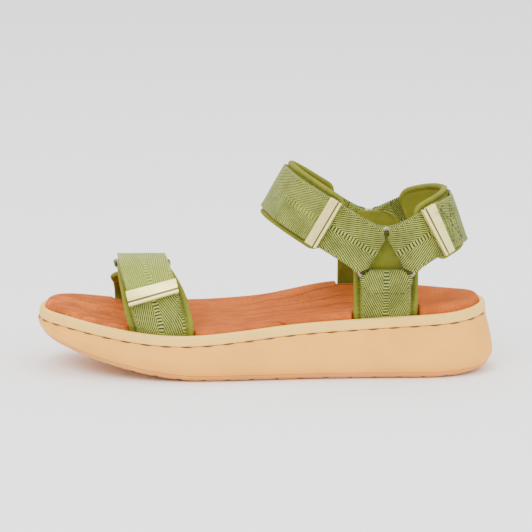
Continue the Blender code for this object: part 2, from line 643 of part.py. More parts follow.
def forefoot_route():
    outer, inner = FRONT_OUTER_X, FRONT_INNER_X
    outer_y, inner_y = pocket_line(outer, -1), pocket_line(inner, 1)
    outer_edge, inner_edge = edge_z(outer, -1), edge_z(inner, 1)
    crown = [(outer - 9, 0.187, 58.3), (outer - 12, 0.368, 62.3), (outer - 13, 0.542, 60.4),
             (outer - 13, 0.704, 54), (inner - 0.5, 0.853, 45.7)]
    points = [(outer, outer_y, pocket_floor(outer)), (outer, outer_y, outer_edge - 3),
              (outer, outer_y, outer_edge + 1), (outer - 2, outer_y + 1.9, 38.5),
              (outer - 5, outer_y + 5.2, 48.8)]
    points += [(x, outer_y + share * (inner_y - outer_y), z) for x, share, z in crown]
    points += [(inner, inner_y - 4.6, 38.5), (inner, inner_y, inner_edge + 1), (inner, inner_y, inner_edge - 3),
               (inner, inner_y, pocket_floor(inner))]
    return Route(points, [(1, 0, 0)] * 2, 1)


def forefoot_strap(route):
    """The strap over the toes: its flap turns back over the buckle's outer bar."""
    ring_s, tip_end = BUCKLE_S, FOREFOOT_TIP_S
    level = (STRAP_LEVEL + FLAP_LEVEL) / 2
    outer_bar, inner_bar = ring_s - BUCKLE_WIDTH / 2, ring_s + BUCKLE_WIDTH / 2
    outer_fit = follow_wall(-1, FRONT_OUTER_X)
    inner_fit = follow_wall(1, FRONT_INNER_X)
    lining_level = -GAP / 2 - LINING / 2
    lining_end = outer_bar - 9
    taper = (FOREFOOT_TAPER_S, lining_end), (LINING_WIDTH, FOREFOOT_TOP_WIDTH)
    layer("forefoot_lining", route, [
        (s, level, np.interp(s, *taper)) for s, level in span(0, lining_end, lining_level)
    ], LINING_WIDTH, LINING, "lining", columns=5, fit=outer_fit)
    turn = [(s, lv, WEBBING_WIDTH) for s, lv, *_ in turn_round(outer_bar, level, -1, 0)[2:-1]]
    layer("forefoot_webbing", route, span(0, outer_bar - 10, STRAP_LEVEL) + turn,
          WEBBING_WIDTH, WEBBING, "webbing", columns=5, fit=outer_fit)
    loops = span(tip_end + 1, outer_bar - 13, LOOP_LEVEL)
    layer("forefoot_loop_patch", route, loops, PATCH_WIDTH, PATCH, "fastener", columns=5)
    fold = outer_bar - GAP
    hinge = route.at(fold, level + LOOP_RADIUS + WEBBING / 2)
    layer("forefoot_flap", route, [(fold, level + LOOP_RADIUS), (fold - 5, level + LOOP_RADIUS * 0.8)]
          + flap_rows(outer_bar - 11, tip_end), WEBBING_WIDTH, WEBBING, "webbing", columns=5, origin=hinge)
    layer("forefoot_hook_patch", route, span(outer_bar - 13, tip_end + TIP_LENGTH + GAP, HOOK_LEVEL),
          PATCH_WIDTH, PATCH, "fastener", columns=5, origin=hinge)
    tip("forefoot_tip", route, tip_end, hinge, 5)
    half = BUCKLE_LENGTH / 2
    side = route.width_at(ring_s)
    corners = [route.at(ring_s, level) + route.look(route.tangent, ring_s) * a * BUCKLE_WIDTH / 2
               + side * b * half for a, b in ((-1, -1), (-1, 1), (1, 1), (1, -1))]
    wire_ring("forefoot_ring", corners, "silver", (corners[2] + corners[3]) / 2)
    end = route.length
    turn = [(s, lv, WEBBING_WIDTH) for s, lv, *_ in turn_round(inner_bar, level, 1, 9)]
    layer("forefoot_inner_webbing", route, turn + span(inner_bar + 13, end, STRAP_LEVEL),
          WEBBING_WIDTH, WEBBING, "webbing", columns=5, fit=inner_fit)
    layer("forefoot_inner_lining", route, [
        (inner_bar - 4, -3.4, 31), (inner_bar - 1, -3.4, 36), (inner_bar + 8, -3, LINING_WIDTH)
    ] + span(inner_bar + 13, end, lining_level), LINING_WIDTH, LINING, "lining", columns=5, fit=inner_fit)


def main():
    clear_scene()
    make_outsole()
    make_midsole()
    make_rand()
    make_footbed()
    anchor("outer", ANKLE_OUTER_X, RING_OUTER_Y, -1)
    anchor("inner", ANKLE_INNER_X, RING_INNER_Y, 1)
    ankle_strap("instep", instep_route(), INSTEP_STRAP)
    ankle_strap("heel", heel_route(), HEEL_STRAP)
    forefoot_strap(forefoot_route())


main()
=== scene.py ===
"""The looks of a strappy sport sandal: foam sole, suede footbed, herringbone webbing and padded linings.

Lengths are in millimetres on the sole's own middle line; build() turns them into metres in the frame.
"""

import math

import bmesh
import bpy
import numpy as np
from bpy.props import FloatProperty, FloatVectorProperty, PointerProperty
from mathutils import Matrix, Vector


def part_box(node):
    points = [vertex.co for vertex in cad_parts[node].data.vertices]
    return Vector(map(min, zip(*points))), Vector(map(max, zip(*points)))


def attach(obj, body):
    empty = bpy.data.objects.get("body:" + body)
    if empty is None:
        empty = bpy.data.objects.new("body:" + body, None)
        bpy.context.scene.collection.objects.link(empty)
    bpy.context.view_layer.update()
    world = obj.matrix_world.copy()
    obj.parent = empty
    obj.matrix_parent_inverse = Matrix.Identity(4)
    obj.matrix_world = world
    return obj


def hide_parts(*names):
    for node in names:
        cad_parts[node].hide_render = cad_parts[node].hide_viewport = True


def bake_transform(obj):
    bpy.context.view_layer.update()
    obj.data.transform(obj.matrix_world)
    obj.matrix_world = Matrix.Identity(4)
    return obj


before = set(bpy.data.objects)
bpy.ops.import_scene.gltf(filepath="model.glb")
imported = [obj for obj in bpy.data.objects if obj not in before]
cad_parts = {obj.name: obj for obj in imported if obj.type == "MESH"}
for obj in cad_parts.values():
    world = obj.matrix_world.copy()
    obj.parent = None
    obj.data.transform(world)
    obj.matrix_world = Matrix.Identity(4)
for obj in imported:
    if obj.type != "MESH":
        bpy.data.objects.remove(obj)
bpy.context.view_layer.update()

bl_info = {
    "name": "Sport sandal",
    "version": (1, 0, 0),
    "blender": (4, 5, 0),
    "location": "View3D > Sidebar > Sandal",
    "description": "Makes the sole, footbed, straps and fittings of a sport sandal round its fixed frame",
    "category": "Object",
}

MM = 0.001
ROOT = "sole_and_straps"


def edge_mm(node, corner, axis):
    """One side of a node's box, in millimetres: corner 0 is the lowest, 1 the highest."""
    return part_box(node)[corner][axis] / MM


def middle_mm(node, axis):
    return (edge_mm(node, 0, axis) + edge_mm(node, 1, axis)) / 2


# Sole
SOLE_LENGTH = edge_mm("midsole", 1, 0) - edge_mm("midsole", 0, 0)
FOREFOOT_WIDTH, WAIST_WIDTH, HEEL_WIDTH = 97.0, 73.0, 74.0
TOE_ROUND, TOE_POWER = 80.0, 2.4
HEEL_ROUND, HEEL_POWER = 48.0, 2.3
MIDDLE_LINE = ((-1, 9), (-0.4, 2), (0.2, -3), (0.7, 0), (1, 0))
OUTSOLE_THICKNESS, WIDEST_HEIGHT = 3.8, 9.5
TOE_SPRING, TOE_SPRING_START, TOE_SPRING_POWER = 18.5, -38.0, 1.5
HEEL_SPRING, HEEL_SPRING_START = 2.0, 95.0
RAND_TOP = ((-1, 35.2), (-0.89, 34.2), (-0.73, 31.3), (-0.59, 28.8), (-0.445, 27.1), (-0.3, 26.9),
            (-0.09, 29.3), (0.1, 32.2), (0.39, 34.9), (0.66, 36.8), (0.85, 38), (1, 40.2))
SIDE_FLARE = 2.5
FLARE = ((-1, 0.8), (-0.85, 1.6), (-0.6, SIDE_FLARE), (0.6, SIDE_FLARE), (0.9, 4), (1, 4.6))
RAND_HEIGHT, RAND_WALL = 6.0, 3.6
RECESS_DEPTH = 11.0
TREAD_PITCH, TREAD_WIDTH, TREAD_DEPTH = 14.0, 2.4, 1.2
TREAD_COLUMNS, TREAD_WAVE, TREAD_WAVE_PITCH = 36, 2.6, 17.0
GAP = 0.3

# Footbed
COVER, COVER_SKIRT = 1.5, 5.0
OUTER_RISE = ((-1, 4), (-0.6, 1.6), (-0.2, 1.9), (0.1, 2.3), (0.4, 3.8), (0.7, 4.8), (1, 4.5))
INNER_RISE = ((-1, 4), (-0.68, 2.7), (-0.29, 5), (0, 6.5), (0.32, 11.8), (0.6, 7), (0.83, 4.2), (1, 4.5))
DISH = ((-1, 0.8), (-0.3, 1.2), (0.3, 2.5), (0.75, 4.0), (1, 3.5))
ARCH_POWER, SPINE_SHARE, NOTCH_FADE = 1.6, 0.72, 0.12

# Straps
ROW_PITCH = 4.0
WEBBING_WIDTH, WEBBING = 28.0, 1.4
LINING_WIDTH, LINING = 37.0, 1.8
PAD_WIDTH, PAD, PATCH = 35.5, 3.0, 0.6
POCKET_DEPTH, POCKET_GAP, POCKET_END_GAP = 9.5, 0.6, 1.0
TIP_WIDTH, TIP_LENGTH, TIP_PLATE = 29.5, 6.2, 0.6
WIRE_RADIUS, RING_SIDE, RING_CORNER = 1.1, 34.0, 2.0
RING_SLACK, LOOP_TONGUE = 1.2, 19.6
BUCKLE_LENGTH, BUCKLE_WIDTH = 31.4, 9.5
TAIL_LENGTH = 11.0
INSTEP_STRAP = (26.0, 24.0, 48.0, 53.0, 28.0)
HEEL_STRAP = (16.0, 16.0, 32.0, 38.0, 20.0)
BUCKLE_S, FOREFOOT_TIP_S = 88.6, 30.0
FOREFOOT_TAPER_S, FOREFOOT_TOP_WIDTH = 24.0, 26.0
FRONT_OUTER_X, FRONT_INNER_X = -59.0, -71.0
ANKLE_OUTER_X, ANKLE_INNER_X = middle_mm("outer_ring", 0), middle_mm("inner_ring", 0)
RING_BASE_Z = edge_mm("outer_ring", 0, 2) + WIRE_RADIUS
LINING_TOP_Z = edge_mm("outer_anchor_lining", 1, 2)

POCKETS = ((-1, FRONT_OUTER_X), (1, FRONT_INNER_X), (-1, ANKLE_OUTER_X), (1, ANKLE_INNER_X))
POCKET_STACK = POCKET_GAP + WEBBING + GAP + LINING + POCKET_GAP
LOOP_RADIUS = WIRE_RADIUS + RING_SLACK + WEBBING / 2
RING_HEIGHT = RING_SIDE * math.sin(math.radians(60))
PAD_LEVEL = -GAP / 2 - PAD / 2
STRAP_LEVEL = GAP / 2 + WEBBING / 2
HOOK_LEVEL = STRAP_LEVEL + WEBBING / 2 + GAP + PATCH / 2 + PATCH + GAP
FLAP_LEVEL = HOOK_LEVEL + PATCH / 2 + GAP + WEBBING / 2

# Padding and seams
RIPPLE, CHANNEL_INSET, PUCKER_PITCH = 0.12, 3.4, 2.2
BAR_SEAM = (-11.5, 11.5)
SEAM_STITCH = (0.0016, 0.00024, 0.0004, math.pi, 6)
ROW_STITCH = (0.0026, 0.00032, 0.0004, math.pi * 2, 8)

# The pads' swelling
PUFF_FRAMES = 20
PUFF_CLOTH = {"quality": 6, "mass": 0.15, "tension_stiffness": 20, "compression_stiffness": 20,
              "bending_stiffness": 0.4, "use_pressure": True, "vertex_group_mass": "held"}

# Textures
CREASE_PITCH = 0.0105  # metres
RUNG_PITCH, SELVEDGE_PITCH, YARN_PITCH = 1.9, 1.1, 0.62
LADDER_HALF, SELVEDGE = 1.5, 1.35
CREVICE_SHADE = (0.72, 1.35)  # from a clip's folded end, the painted shade band in the fold beside its bead


def srgb(red, green, blue):
    """A display colour, each channel from 0 to 255, as linear light."""
    shares = (channel / 255 for channel in (red, green, blue))
    return tuple(c / 12.92 if c <= 0.04 else ((c + 0.055) / 1.055) ** 2.4 for c in shares)


# ---------------------------------------------------------------- settings


def colour(label, told, value):
    return FloatVectorProperty(name=label, description=told, subtype="COLOR", size=3, min=0, max=1,
                               default=value)


def length(label, told, value):
    return FloatProperty(name=label, description=told, unit="LENGTH", min=0, default=value, precision=5)


class SoleSettings(bpy.types.PropertyGroup):
    """Sizes and colours of the sole and footbed."""

    foam: colour("Midsole", "Colour of the foam midsole", srgb(250, 176, 62))
    rand: colour("Rand", "Colour of the rim above the stitched groove", srgb(255, 202, 96))
    rubber: colour("Outsole", "Colour of the rubber tread", srgb(228, 156, 76))
    suede: colour("Suede", "Colour of the footbed's suede", srgb(202, 102, 38))
    thread: colour("Sole thread", "Colour of the thread in the groove", srgb(84, 44, 18))
    stitch_pitch: length("Stitch pitch", "Distance from one sole stitch to the next", 0.0118)
    stitch_radius: length("Thread radius", "Radius of the sole thread", 0.0005)


class StrapSettings(bpy.types.PropertyGroup):
    """Weave and colours of the straps."""

    # The rib colour is painted light on the rib tops; the gap colour is painted shade between the ribs.
    webbing_lit_ribs: colour("Webbing, light", "Colour of the webbing's raised ribs", srgb(164, 172, 66))
    webbing_shaded_gaps: colour("Webbing, dark", "Colour between the webbing's ribs", srgb(36, 42, 8))
    lining: colour("Lining", "Colour of the padded linings", srgb(120, 122, 36))
    fastener: colour("Fastener", "Colour of the hook and loop patches", srgb(110, 120, 60))
    rib_pitch: FloatProperty(name="Rib pitch", description="Millimetres from rib to rib", default=1.15,
                             min=0.3)
    rib_angle: FloatProperty(name="Rib angle", description="Angle of the ribs to the strap's length",
                             subtype="ANGLE", default=math.radians(24))
    seam_pitch: length("Seam pitch", "Distance from one stitch to the next along a lining's rim", 0.0022)


class FittingSettings(bpy.types.PropertyGroup):
    """Colours of the metal fittings."""

    gold: colour("Clips", "Colour of the clips on the strap ends", srgb(255, 240, 156))
    silver: colour("Rings", "Colour of the wire rings", srgb(150, 144, 128))


class StageSettings(bpy.types.PropertyGroup):
    """Floor, light and camera."""

    floor: colour("Floor", "Colour of the floor", (0.95, 0.95, 0.95))
    elevation: FloatProperty(name="Elevation", description="Height angle of the camera", subtype="ANGLE",
                             default=math.radians(11))
    distance: length("Distance", "From the camera to the sandal", 1.7)
    across: length("Width in view", "Width that the picture takes in at the sandal", 0.3086)


# ---------------------------------------------------------------- meshes


def smooth(knots, values, x):
    """The smooth curve through values at knots, read at x. Values may be rows of numbers."""
    knots, values = np.asarray(knots, float), np.asarray(values, float)
    slopes = np.gradient(values, knots, axis=0)
    x = np.clip(x, knots[0], knots[-1])
    i = np.clip(np.searchsorted(knots, x, side="right") - 1, 0, len(knots) - 2)
    step = knots[i + 1] - knots[i]
    t = (x - knots[i]) / step
    if values.ndim > 1:
        t, step = t[:, None], step[:, None]
    return ((2 * t**3 - 3 * t**2 + 1) * values[i] + (t**3 - 2 * t**2 + t) * step * slopes[i]
            + (3 * t**2 - 2 * t**3) * values[i + 1] + (t**3 - t**2) * step * slopes[i + 1])


def by_share(table, x):
    knots, values = np.array(table, float).T
    return smooth(knots, values, np.asarray(x, float) / (SOLE_LENGTH / 2))


def read(rows, at, knots):
    """Rows of numbers given at knots, read in straight lines between them."""
    return np.column_stack([np.interp(at, knots, rows[:, k]) for k in range(rows.shape[1])])


def run_length(points):
    """The length of a line of points up to each of them."""
    return np.concatenate([[0], np.cumsum(np.linalg.norm(np.diff(points, axis=0), axis=1))])


def unit(vectors):
    return vectors / np.linalg.norm(vectors, axis=-1, keepdims=True)


def place(points):
    """Points in millimetres on the sole's middle line, as metres in the frame."""
    return (np.asarray(points, float) - [0, CENTRE_Y, 0]) * MM


def build(name, points, faces, finish, weave=None, sharp=None):
    """A mesh object at the origin, with its normals out and, on cloth, its weave map in millimetres."""
    mesh = bpy.data.meshes.new(name)
    mesh.from_pydata(place(points).tolist(), [], [tuple(int(i) for i in f) for f in faces])
    if weave is not None:
        corners = np.empty(len(mesh.loops), np.int32)
        mesh.loops.foreach_get("vertex_index", corners)
        layer = mesh.uv_layers.new(name="weave")
        layer.data.foreach_set("uv", np.asarray(weave, np.float32)[corners].ravel())
    shape = bmesh.new()
    shape.from_mesh(mesh)
    bmesh.ops.recalc_face_normals(shape, faces=shape.faces)
    shape.to_mesh(mesh)
    shape.free()
    mesh.shade_smooth()
    if sharp:
        mesh.set_sharp_from_angle(angle=math.radians(sharp))
    mesh.materials.append(finish)
    made = bpy.data.objects.new(name, mesh)
    bpy.context.scene.collection.objects.link(made)
    return made


def ladder(base, count):
    """Faces across a loop whose two halves mirror each other, from its first point to its middle one."""
    half = count // 2
    ends = [(0, 1, count - 1), (half - 1, half, half + 1)]
    rungs = ends + [(i, i + 1, count - i - 1, count - i) for i in range(1, half - 1)]
    return [tuple(base + i for i in face) for face in rungs]


def quad_rows(rows, count, ring=False):
    """Faces between rows of count points each, every row closed on itself, and the last joined to the first
    where they make a ring."""
    return [(k * count + i, k * count + (i + 1) % count, (k + 1) % rows * count + (i + 1) % count,
             (k + 1) % rows * count + i) for k in range(rows if ring else rows - 1) for i in range(count)]


def stacked(loops, ring=False, open_start=False):
    """Points and faces through loops of matching points: capped, or closed on itself as a ring."""
    count = len(loops[0])
    faces = quad_rows(len(loops), count, ring)
    if not (ring or open_start):
        faces += ladder(0, count)
    if not ring:
        faces += ladder((len(loops) - 1) * count, count)
    return np.concatenate(loops), faces


def finish_piece(piece, body, slot, *nodes):
    """Hangs a piece on its body and hides the nodes that it stands for. The slot is not used."""
    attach(piece, body)
    if nodes:
        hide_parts(*nodes)
    return piece


def puff(piece, held, pressure, most):
    """Swells a padded piece with the cloth solver, some vertices held, and moves none further than most."""
    mesh = piece.data
    count = len(mesh.vertices)
    rest = np.empty(count * 3, np.float32)
    mesh.vertices.foreach_get("co", rest)
    group = piece.vertex_groups.new(name="held")
    group.add([int(i) for i in held], 1.0, "REPLACE")
    cloth = piece.modifiers.new("Cloth", "CLOTH")
    for setting, value in (*PUFF_CLOTH.items(), ("uniform_pressure_force", pressure)):
        setattr(cloth.settings, setting, value)
    cloth.settings.effector_weights.gravity = 0
    cloth.point_cache.frame_start, cloth.point_cache.frame_end = 1, PUFF_FRAMES
    scene = bpy.context.scene
    for number in range(1, PUFF_FRAMES + 1):
        scene.frame_set(number)
    swollen = piece.evaluated_get(bpy.context.evaluated_depsgraph_get()).to_mesh()
    moved = np.empty(count * 3, np.float32)
    swollen.vertices.foreach_get("co", moved)
    piece.modifiers.remove(cloth)
    piece.vertex_groups.remove(group)
    scene.frame_set(1)
    shift = (moved - rest).reshape(-1, 3)
    far = np.linalg.norm(shift, axis=1, keepdims=True)
    shift *= np.minimum(1, most * MM / np.maximum(far, 1e-9))
    mesh.vertices.foreach_set("co", (rest.reshape(-1, 3) + shift).ravel())
    mesh.update()


# ---------------------------------------------------------------- materials


def add_node(tree, kind, inputs=None, **settings):
    """A new node. An input given as a socket is linked; anything else is set."""
    node = tree.nodes.new(kind)
    for key, value in settings.items():
        setattr(node, key, value)
    for key, value in (inputs or {}).items():
        if isinstance(value, bpy.types.NodeSocket):
            tree.links.new(value, node.inputs[key])
        else:
            node.inputs[key].default_value = value
    return node


class Paint:
    """One material, built a node at a time."""

    def __init__(self, name, **shader):
        self.material = bpy.data.materials.new(name)
        self.material.use_nodes = True
        self.tree = self.material.node_tree
        self.shader = self.tree.nodes["Principled BSDF"]
        for socket, value in shader.items():
            self.shader.inputs[socket.replace("_", " ")].default_value = value
        self.place = self.add("ShaderNodeTexCoord")["Object"]

    def add(self, kind, inputs=None, **settings):
        return add_node(self.tree, kind, inputs, **settings).outputs

    def math(self, operation, *values):
        return self.add("ShaderNodeMath", dict(enumerate(values)), operation=operation)[0]

    def plus(self, first, second):
        return self.math("ADD", first, second)

    def minus(self, first, second):
        return self.math("SUBTRACT", first, second)

    def times(self, first, second):
        return self.math("MULTIPLY", first, second)

    def wave(self, value, pitch):
        return self.math("SINE", self.times(value, 2 * math.pi / pitch))

    def noise(self, scale, detail=4.0, stretch=(1, 1, 1), rough=0.55):
        where = self.add("ShaderNodeMapping", {"Vector": self.place, "Scale": stretch})[0]
        given = {"Vector": where, "Scale": scale, "Detail": detail, "Roughness": rough}
        return self.add("ShaderNodeTexNoise", given)["Fac"]

    def spread(self, value, low, high, to_low=0.0, to_high=1.0):
        """Value eased from to_low, at low and under, to to_high, at high and over."""
        given = {"Value": value, "From Min": low, "From Max": high, "To Min": to_low, "To Max": to_high}
        return self.add("ShaderNodeMapRange", given, interpolation_type="SMOOTHSTEP")[0]

    def mix(self, share, first, second):
        """The first colour where share is 0, the second where it is 1."""
        first, second = (c if isinstance(c, bpy.types.NodeSocket) else (*c, 1.0) for c in (first, second))
        return self.add("ShaderNodeMix", {0: share, 6: first, 7: second}, data_type="RGBA")[2]

    def weave(self):
        """Millimetres across and along a piece, from its weave map."""
        mapped = self.add("ShaderNodeUVMap", uv_map="weave")[0]
        return self.add("ShaderNodeSeparateXYZ", {"Vector": mapped})[:2]

    def finish(self, base, height=None, depth=0.0, rough=None):
        """Links the colour, the relief with its depth in millimetres, and the roughness."""
        self.tree.links.new(base, self.shader.inputs["Base Color"])
        if rough is not None:
            self.tree.links.new(rough, self.shader.inputs["Roughness"])
        if height is not None:
            bump = self.add("ShaderNodeBump", {"Height": height, "Distance": depth * MM, "Strength": 1.0})
            self.tree.links.new(bump[0], self.shader.inputs["Normal"])
        return self.material


def scaled(tint, factor):
    return tuple(min(1.0, c * factor) for c in tint)


def foam(name, tint, rough=0.62):
    """Moulded foam or rubber: fine pores and faint mottling."""
    paint = Paint(name, Roughness=rough, Subsurface_Weight=0.06, Subsurface_Radius=(0.006, 0.004, 0.002))
    broad = paint.spread(paint.noise(28, 3), 0.35, 0.68)
    pores = paint.noise(1900, 3, rough=0.7)
    base = paint.mix(broad, scaled(tint, 0.93), scaled(tint, 1.05))
    base = paint.mix(paint.spread(pores, 0.62, 0.78, 0.0, 0.35), base, scaled(tint, 0.72))
    height = paint.plus(paint.times(pores, 0.6), paint.noise(420, 4))
    roughness = paint.spread(paint.noise(160, 4), 0.3, 0.75, rough - 0.1, rough + 0.1)
    return paint.finish(base, height, 0.16, roughness)


def suede(name, tint):
    """Napped suede, darker towards the heel, with a few long wavy creases through the waist."""
    paint = Paint(name, Sheen_Weight=0.35, Sheen_Roughness=0.5, Sheen_Tint=(*scaled(tint, 1.6), 1.0),
                  Specular_IOR_Level=0.2)
    nap = paint.spread(paint.noise(70, 5, (1, 1.6, 1)), 0.32, 0.7)
    fibre = paint.noise(2600, 3, (1, 2.2, 1), 0.7)
    pile = paint.noise(650, 4, (1, 1.5, 1))
    base = paint.mix(nap, scaled(tint, 0.56), scaled(tint, 1.3))
    base = paint.mix(paint.spread(pile, 0.4, 0.68, 0.0, 0.7), base, scaled(tint, 0.45))
    base = paint.mix(paint.spread(fibre, 0.45, 0.75, 0.0, 0.35), base, scaled(tint, 1.5))
    along, across = paint.add("ShaderNodeSeparateXYZ", {"Vector": paint.place})[:2]
    wander = paint.times(paint.noise(16, 2, (1, 0.5, 1)), 3.2)
    line = paint.math("PINGPONG", paint.plus(paint.times(across, 1 / CREASE_PITCH), wander), 0.5)
    waist = paint.times(paint.spread(along, -0.045, 0.0), paint.spread(along, 0.06, 0.1, 1.0, 0.0))
    crease = paint.times(paint.spread(line, 0.0, 0.07, 1.0, 0.0), paint.times(waist, 0.75))
    base = paint.mix(paint.spread(along, -0.09, -0.03, 0.0, 0.6), base, scaled(tint, 0.72))
    base = paint.mix(crease, base, scaled(tint, 0.25))
    height = paint.minus(paint.plus(paint.times(fibre, 0.5), pile), paint.times(crease, 1.6))
    return paint.finish(base, height, 0.3, paint.spread(pile, 0.3, 0.7, 0.8, 0.98))


def webbing(name, light, dark, pitch, angle, chevron=1.0, relief=0.34, contrast=1.0, rungs=1.0):
    """Herringbone webbing on the weave map: slanted ribs each side of a ladder of short rungs, with painted
    shade in the gaps and painted light on the ribs.
    """
    paint = Paint(name, Sheen_Weight=0.2, Sheen_Roughness=0.4, Specular_IOR_Level=0.35)
    across, along = paint.weave()
    aside = paint.math("ABSOLUTE", across)
    turn = 2 * math.pi / pitch
    phase = paint.plus(paint.times(aside, math.cos(angle) * turn),
                       paint.times(along, chevron * math.sin(angle) * turn))
    rib = paint.math("SINE", paint.plus(phase, paint.times(paint.noise(120, 2), 1.6)))
    yarn = paint.math("SINE", paint.plus(paint.times(along, 2 * math.pi / YARN_PITCH),
                                         paint.times(aside, 4.0)))
    middle = paint.spread(aside, LADDER_HALF - 0.2, LADDER_HALF + 0.2, 1.0, 0.0)
    edge = WEBBING_WIDTH / 2 - SELVEDGE
    border = paint.spread(aside, edge - 0.15, edge + 0.15)
    weave = paint.plus(paint.times(rib, paint.minus(1.0, middle)),
                       paint.times(paint.wave(along, RUNG_PITCH), paint.times(middle, rungs)))
    weave = paint.plus(paint.times(weave, paint.minus(1.0, border)),
                       paint.times(paint.wave(along, SELVEDGE_PITCH), border))
    height = paint.plus(paint.plus(paint.times(weave, 0.42), paint.times(yarn, 0.08)), 0.5)
    fuzz_and_highlight, mottle = paint.noise(1500, 3), paint.noise(90, 4)
    uneven = paint.times(paint.minus(paint.noise(700, 3, rough=0.7), 0.5), 0.7)
    reach = 0.34 / contrast
    # Painted shade and light: the relief picks the colour, the shaded-gap tint between the ribs and the lit-rib
    # tint on their tops.
    base = paint.mix(paint.spread(paint.plus(height, uneven), 0.5 - reach, 0.5 + reach), dark, light)
    base = paint.mix(paint.spread(mottle, 0.35, 0.7, 0.0, 0.4), base, scaled(dark, 2.0))
    # Painted highlight: pale flecks where the fuzz noise is high; the same noise adds fuzz to the relief.
    base = paint.mix(paint.spread(fuzz_and_highlight, 0.58, 0.78, 0.0, 0.35), base, scaled(light, 1.25))
    height = paint.plus(height, paint.times(fuzz_and_highlight, 0.25))
    return paint.finish(base, height, relief, paint.spread(mottle, 0.3, 0.7, 0.55, 0.8))


def lining(name, tint):
    """Brushed knit lining: a fine grain with soft darker patches."""
    paint = Paint(name, Sheen_Weight=0.3, Sheen_Roughness=0.45, Sheen_Tint=(*scaled(tint, 1.4), 1.0),
                  Specular_IOR_Level=0.25)
    knit, patch = paint.noise(1300, 3, rough=0.7), paint.noise(110, 4)
    base = paint.mix(paint.spread(patch, 0.35, 0.7), scaled(tint, 0.84), scaled(tint, 1.1))
    base = paint.mix(paint.spread(knit, 0.42, 0.7, 0.0, 0.45), base, scaled(tint, 0.62))
    height = paint.plus(knit, paint.times(paint.noise(300, 3), 0.8))
    return paint.finish(base, height, 0.3, paint.spread(patch, 0.3, 0.7, 0.75, 0.95))


def fuzzy(name, tint):
    """The tangled loops or stiff hooks of a fastening patch."""
    paint = Paint(name, Roughness=0.95, Sheen_Weight=0.4)
    tangle = paint.noise(1700, 5, rough=0.8)
    cells = paint.add("ShaderNodeTexVoronoi", {"Vector": paint.place, "Scale": 900.0})["Distance"]
    base = paint.mix(paint.spread(tangle, 0.35, 0.65), scaled(tint, 0.55), scaled(tint, 1.35))
    return paint.finish(base, paint.plus(tangle, cells), 0.5)


def metal(name, tint, rough, streaks, crevice_shade=None, metallic=1.0):
    """Plated metal, lightly brushed, with small dull marks and, on a clip, a painted shade band in the fold
    beside its bead.
    """
    paint = Paint(name, Metallic=metallic)
    brushed, marks = paint.noise(500, 3, streaks), paint.noise(240, 5, rough=0.7)
    base = paint.mix(paint.spread(marks, 0.5, 0.75, 0.0, 0.5), tint, scaled(tint, 0.72))
    # Painted shade: a near-black band across the clip's fold, where shade falls.
    if crevice_shade:
        from_end, (low, high) = paint.weave()[0], crevice_shade
        line = paint.times(paint.spread(from_end, low - 0.1, low),
                           paint.spread(from_end, high, high + 0.1, 1.0, 0.0))
        base = paint.mix(paint.times(line, 0.9), base, scaled(tint, 0.06))
    roughness = paint.plus(paint.spread(marks, 0.4, 0.75, rough, rough + 0.2), paint.times(brushed, 0.12))
    return paint.finish(base, paint.plus(brushed, paint.times(marks, 0.5)), 0.05, roughness)


def thread(name, tint):
    """Sewing thread, darker in its twists."""
    paint = Paint(name, Sheen_Weight=0.2)
    fibre = paint.noise(2200, 3, rough=0.7)
    base = paint.mix(paint.spread(fibre, 0.35, 0.7), scaled(tint, 0.7), scaled(tint, 1.25))
    return paint.finish(base, fibre, 0.12, paint.spread(paint.noise(500, 2), 0.3, 0.7, 0.55, 0.8))


def shared(name, make, *given, **more):
    """A material made once and used by several pieces."""
    return bpy.data.materials.get(name) or make(name, *given, **more)


def web_face(look):
    return shared("webbing face", webbing, look.webbing_lit_ribs, look.webbing_shaded_gaps, look.rib_pitch,
                  look.rib_angle, contrast=2.3)


def web_back(look):
    return shared("webbing back", webbing, scaled(look.webbing_lit_ribs, 0.95), scaled(look.webbing_shaded_gaps, 1.35),
                  look.rib_pitch * 0.8, look.rib_angle, chevron=-1.0, relief=0.22, rungs=0.35)


def web_satin(look):
    """The back of the forefoot flap: paler and smoother, with fine lines along it."""
    return shared("webbing satin", webbing, scaled(look.webbing_lit_ribs, 1.15), scaled(look.webbing_shaded_gaps, 5.0),
                  look.rib_pitch, math.radians(4), relief=0.2, contrast=0.7)


def gold(look):
    return shared("plated clips", metal, look.gold, 0.24, (1, 9, 1), CREVICE_SHADE, 0.8)


def silver(look):
    return shared("ring wire", metal, look.silver, 0.16, (1, 1, 4))


# ---------------------------------------------------------------- sole outline and heights


def end_round(x):
    x = np.asarray(x, float)
    toe = np.clip((-x - (SOLE_LENGTH / 2 - TOE_ROUND)) / TOE_ROUND, 0, 1)
    heel = np.clip((x - (SOLE_LENGTH / 2 - HEEL_ROUND)) / HEEL_ROUND, 0, 1)
    return (1 - toe**TOE_POWER) ** (1 / TOE_POWER) * (1 - heel**HEEL_POWER) ** (1 / HEEL_POWER)


def half_width(x):
    widths = ((-1, 0.9 * FOREFOOT_WIDTH), (-0.38, FOREFOOT_WIDTH), (0.25, WAIST_WIDTH),
              (0.7, HEEL_WIDTH), (1, HEEL_WIDTH))
    return by_share(widths, x) / 2 * end_round(x)


def side_y(x, side):
    return by_share(MIDDLE_LINE, x) + side * half_width(x)


def inward_at(x, side):
    step = 0.01
    slope = (side_y(x + step, side) - side_y(x - step, side)) / (2 * step)
    return unit(np.stack([side * slope, -side * np.ones_like(slope)], axis=-1))


def bottom_z(x):
    toe = np.clip((TOE_SPRING_START - x) / (TOE_SPRING_START + SOLE_LENGTH / 2), 0, 1)
    heel = np.clip((x - HEEL_SPRING_START) / (SOLE_LENGTH / 2 - HEEL_SPRING_START), 0, 1)
    return TOE_SPRING * toe**TOE_SPRING_POWER + HEEL_SPRING * heel**2


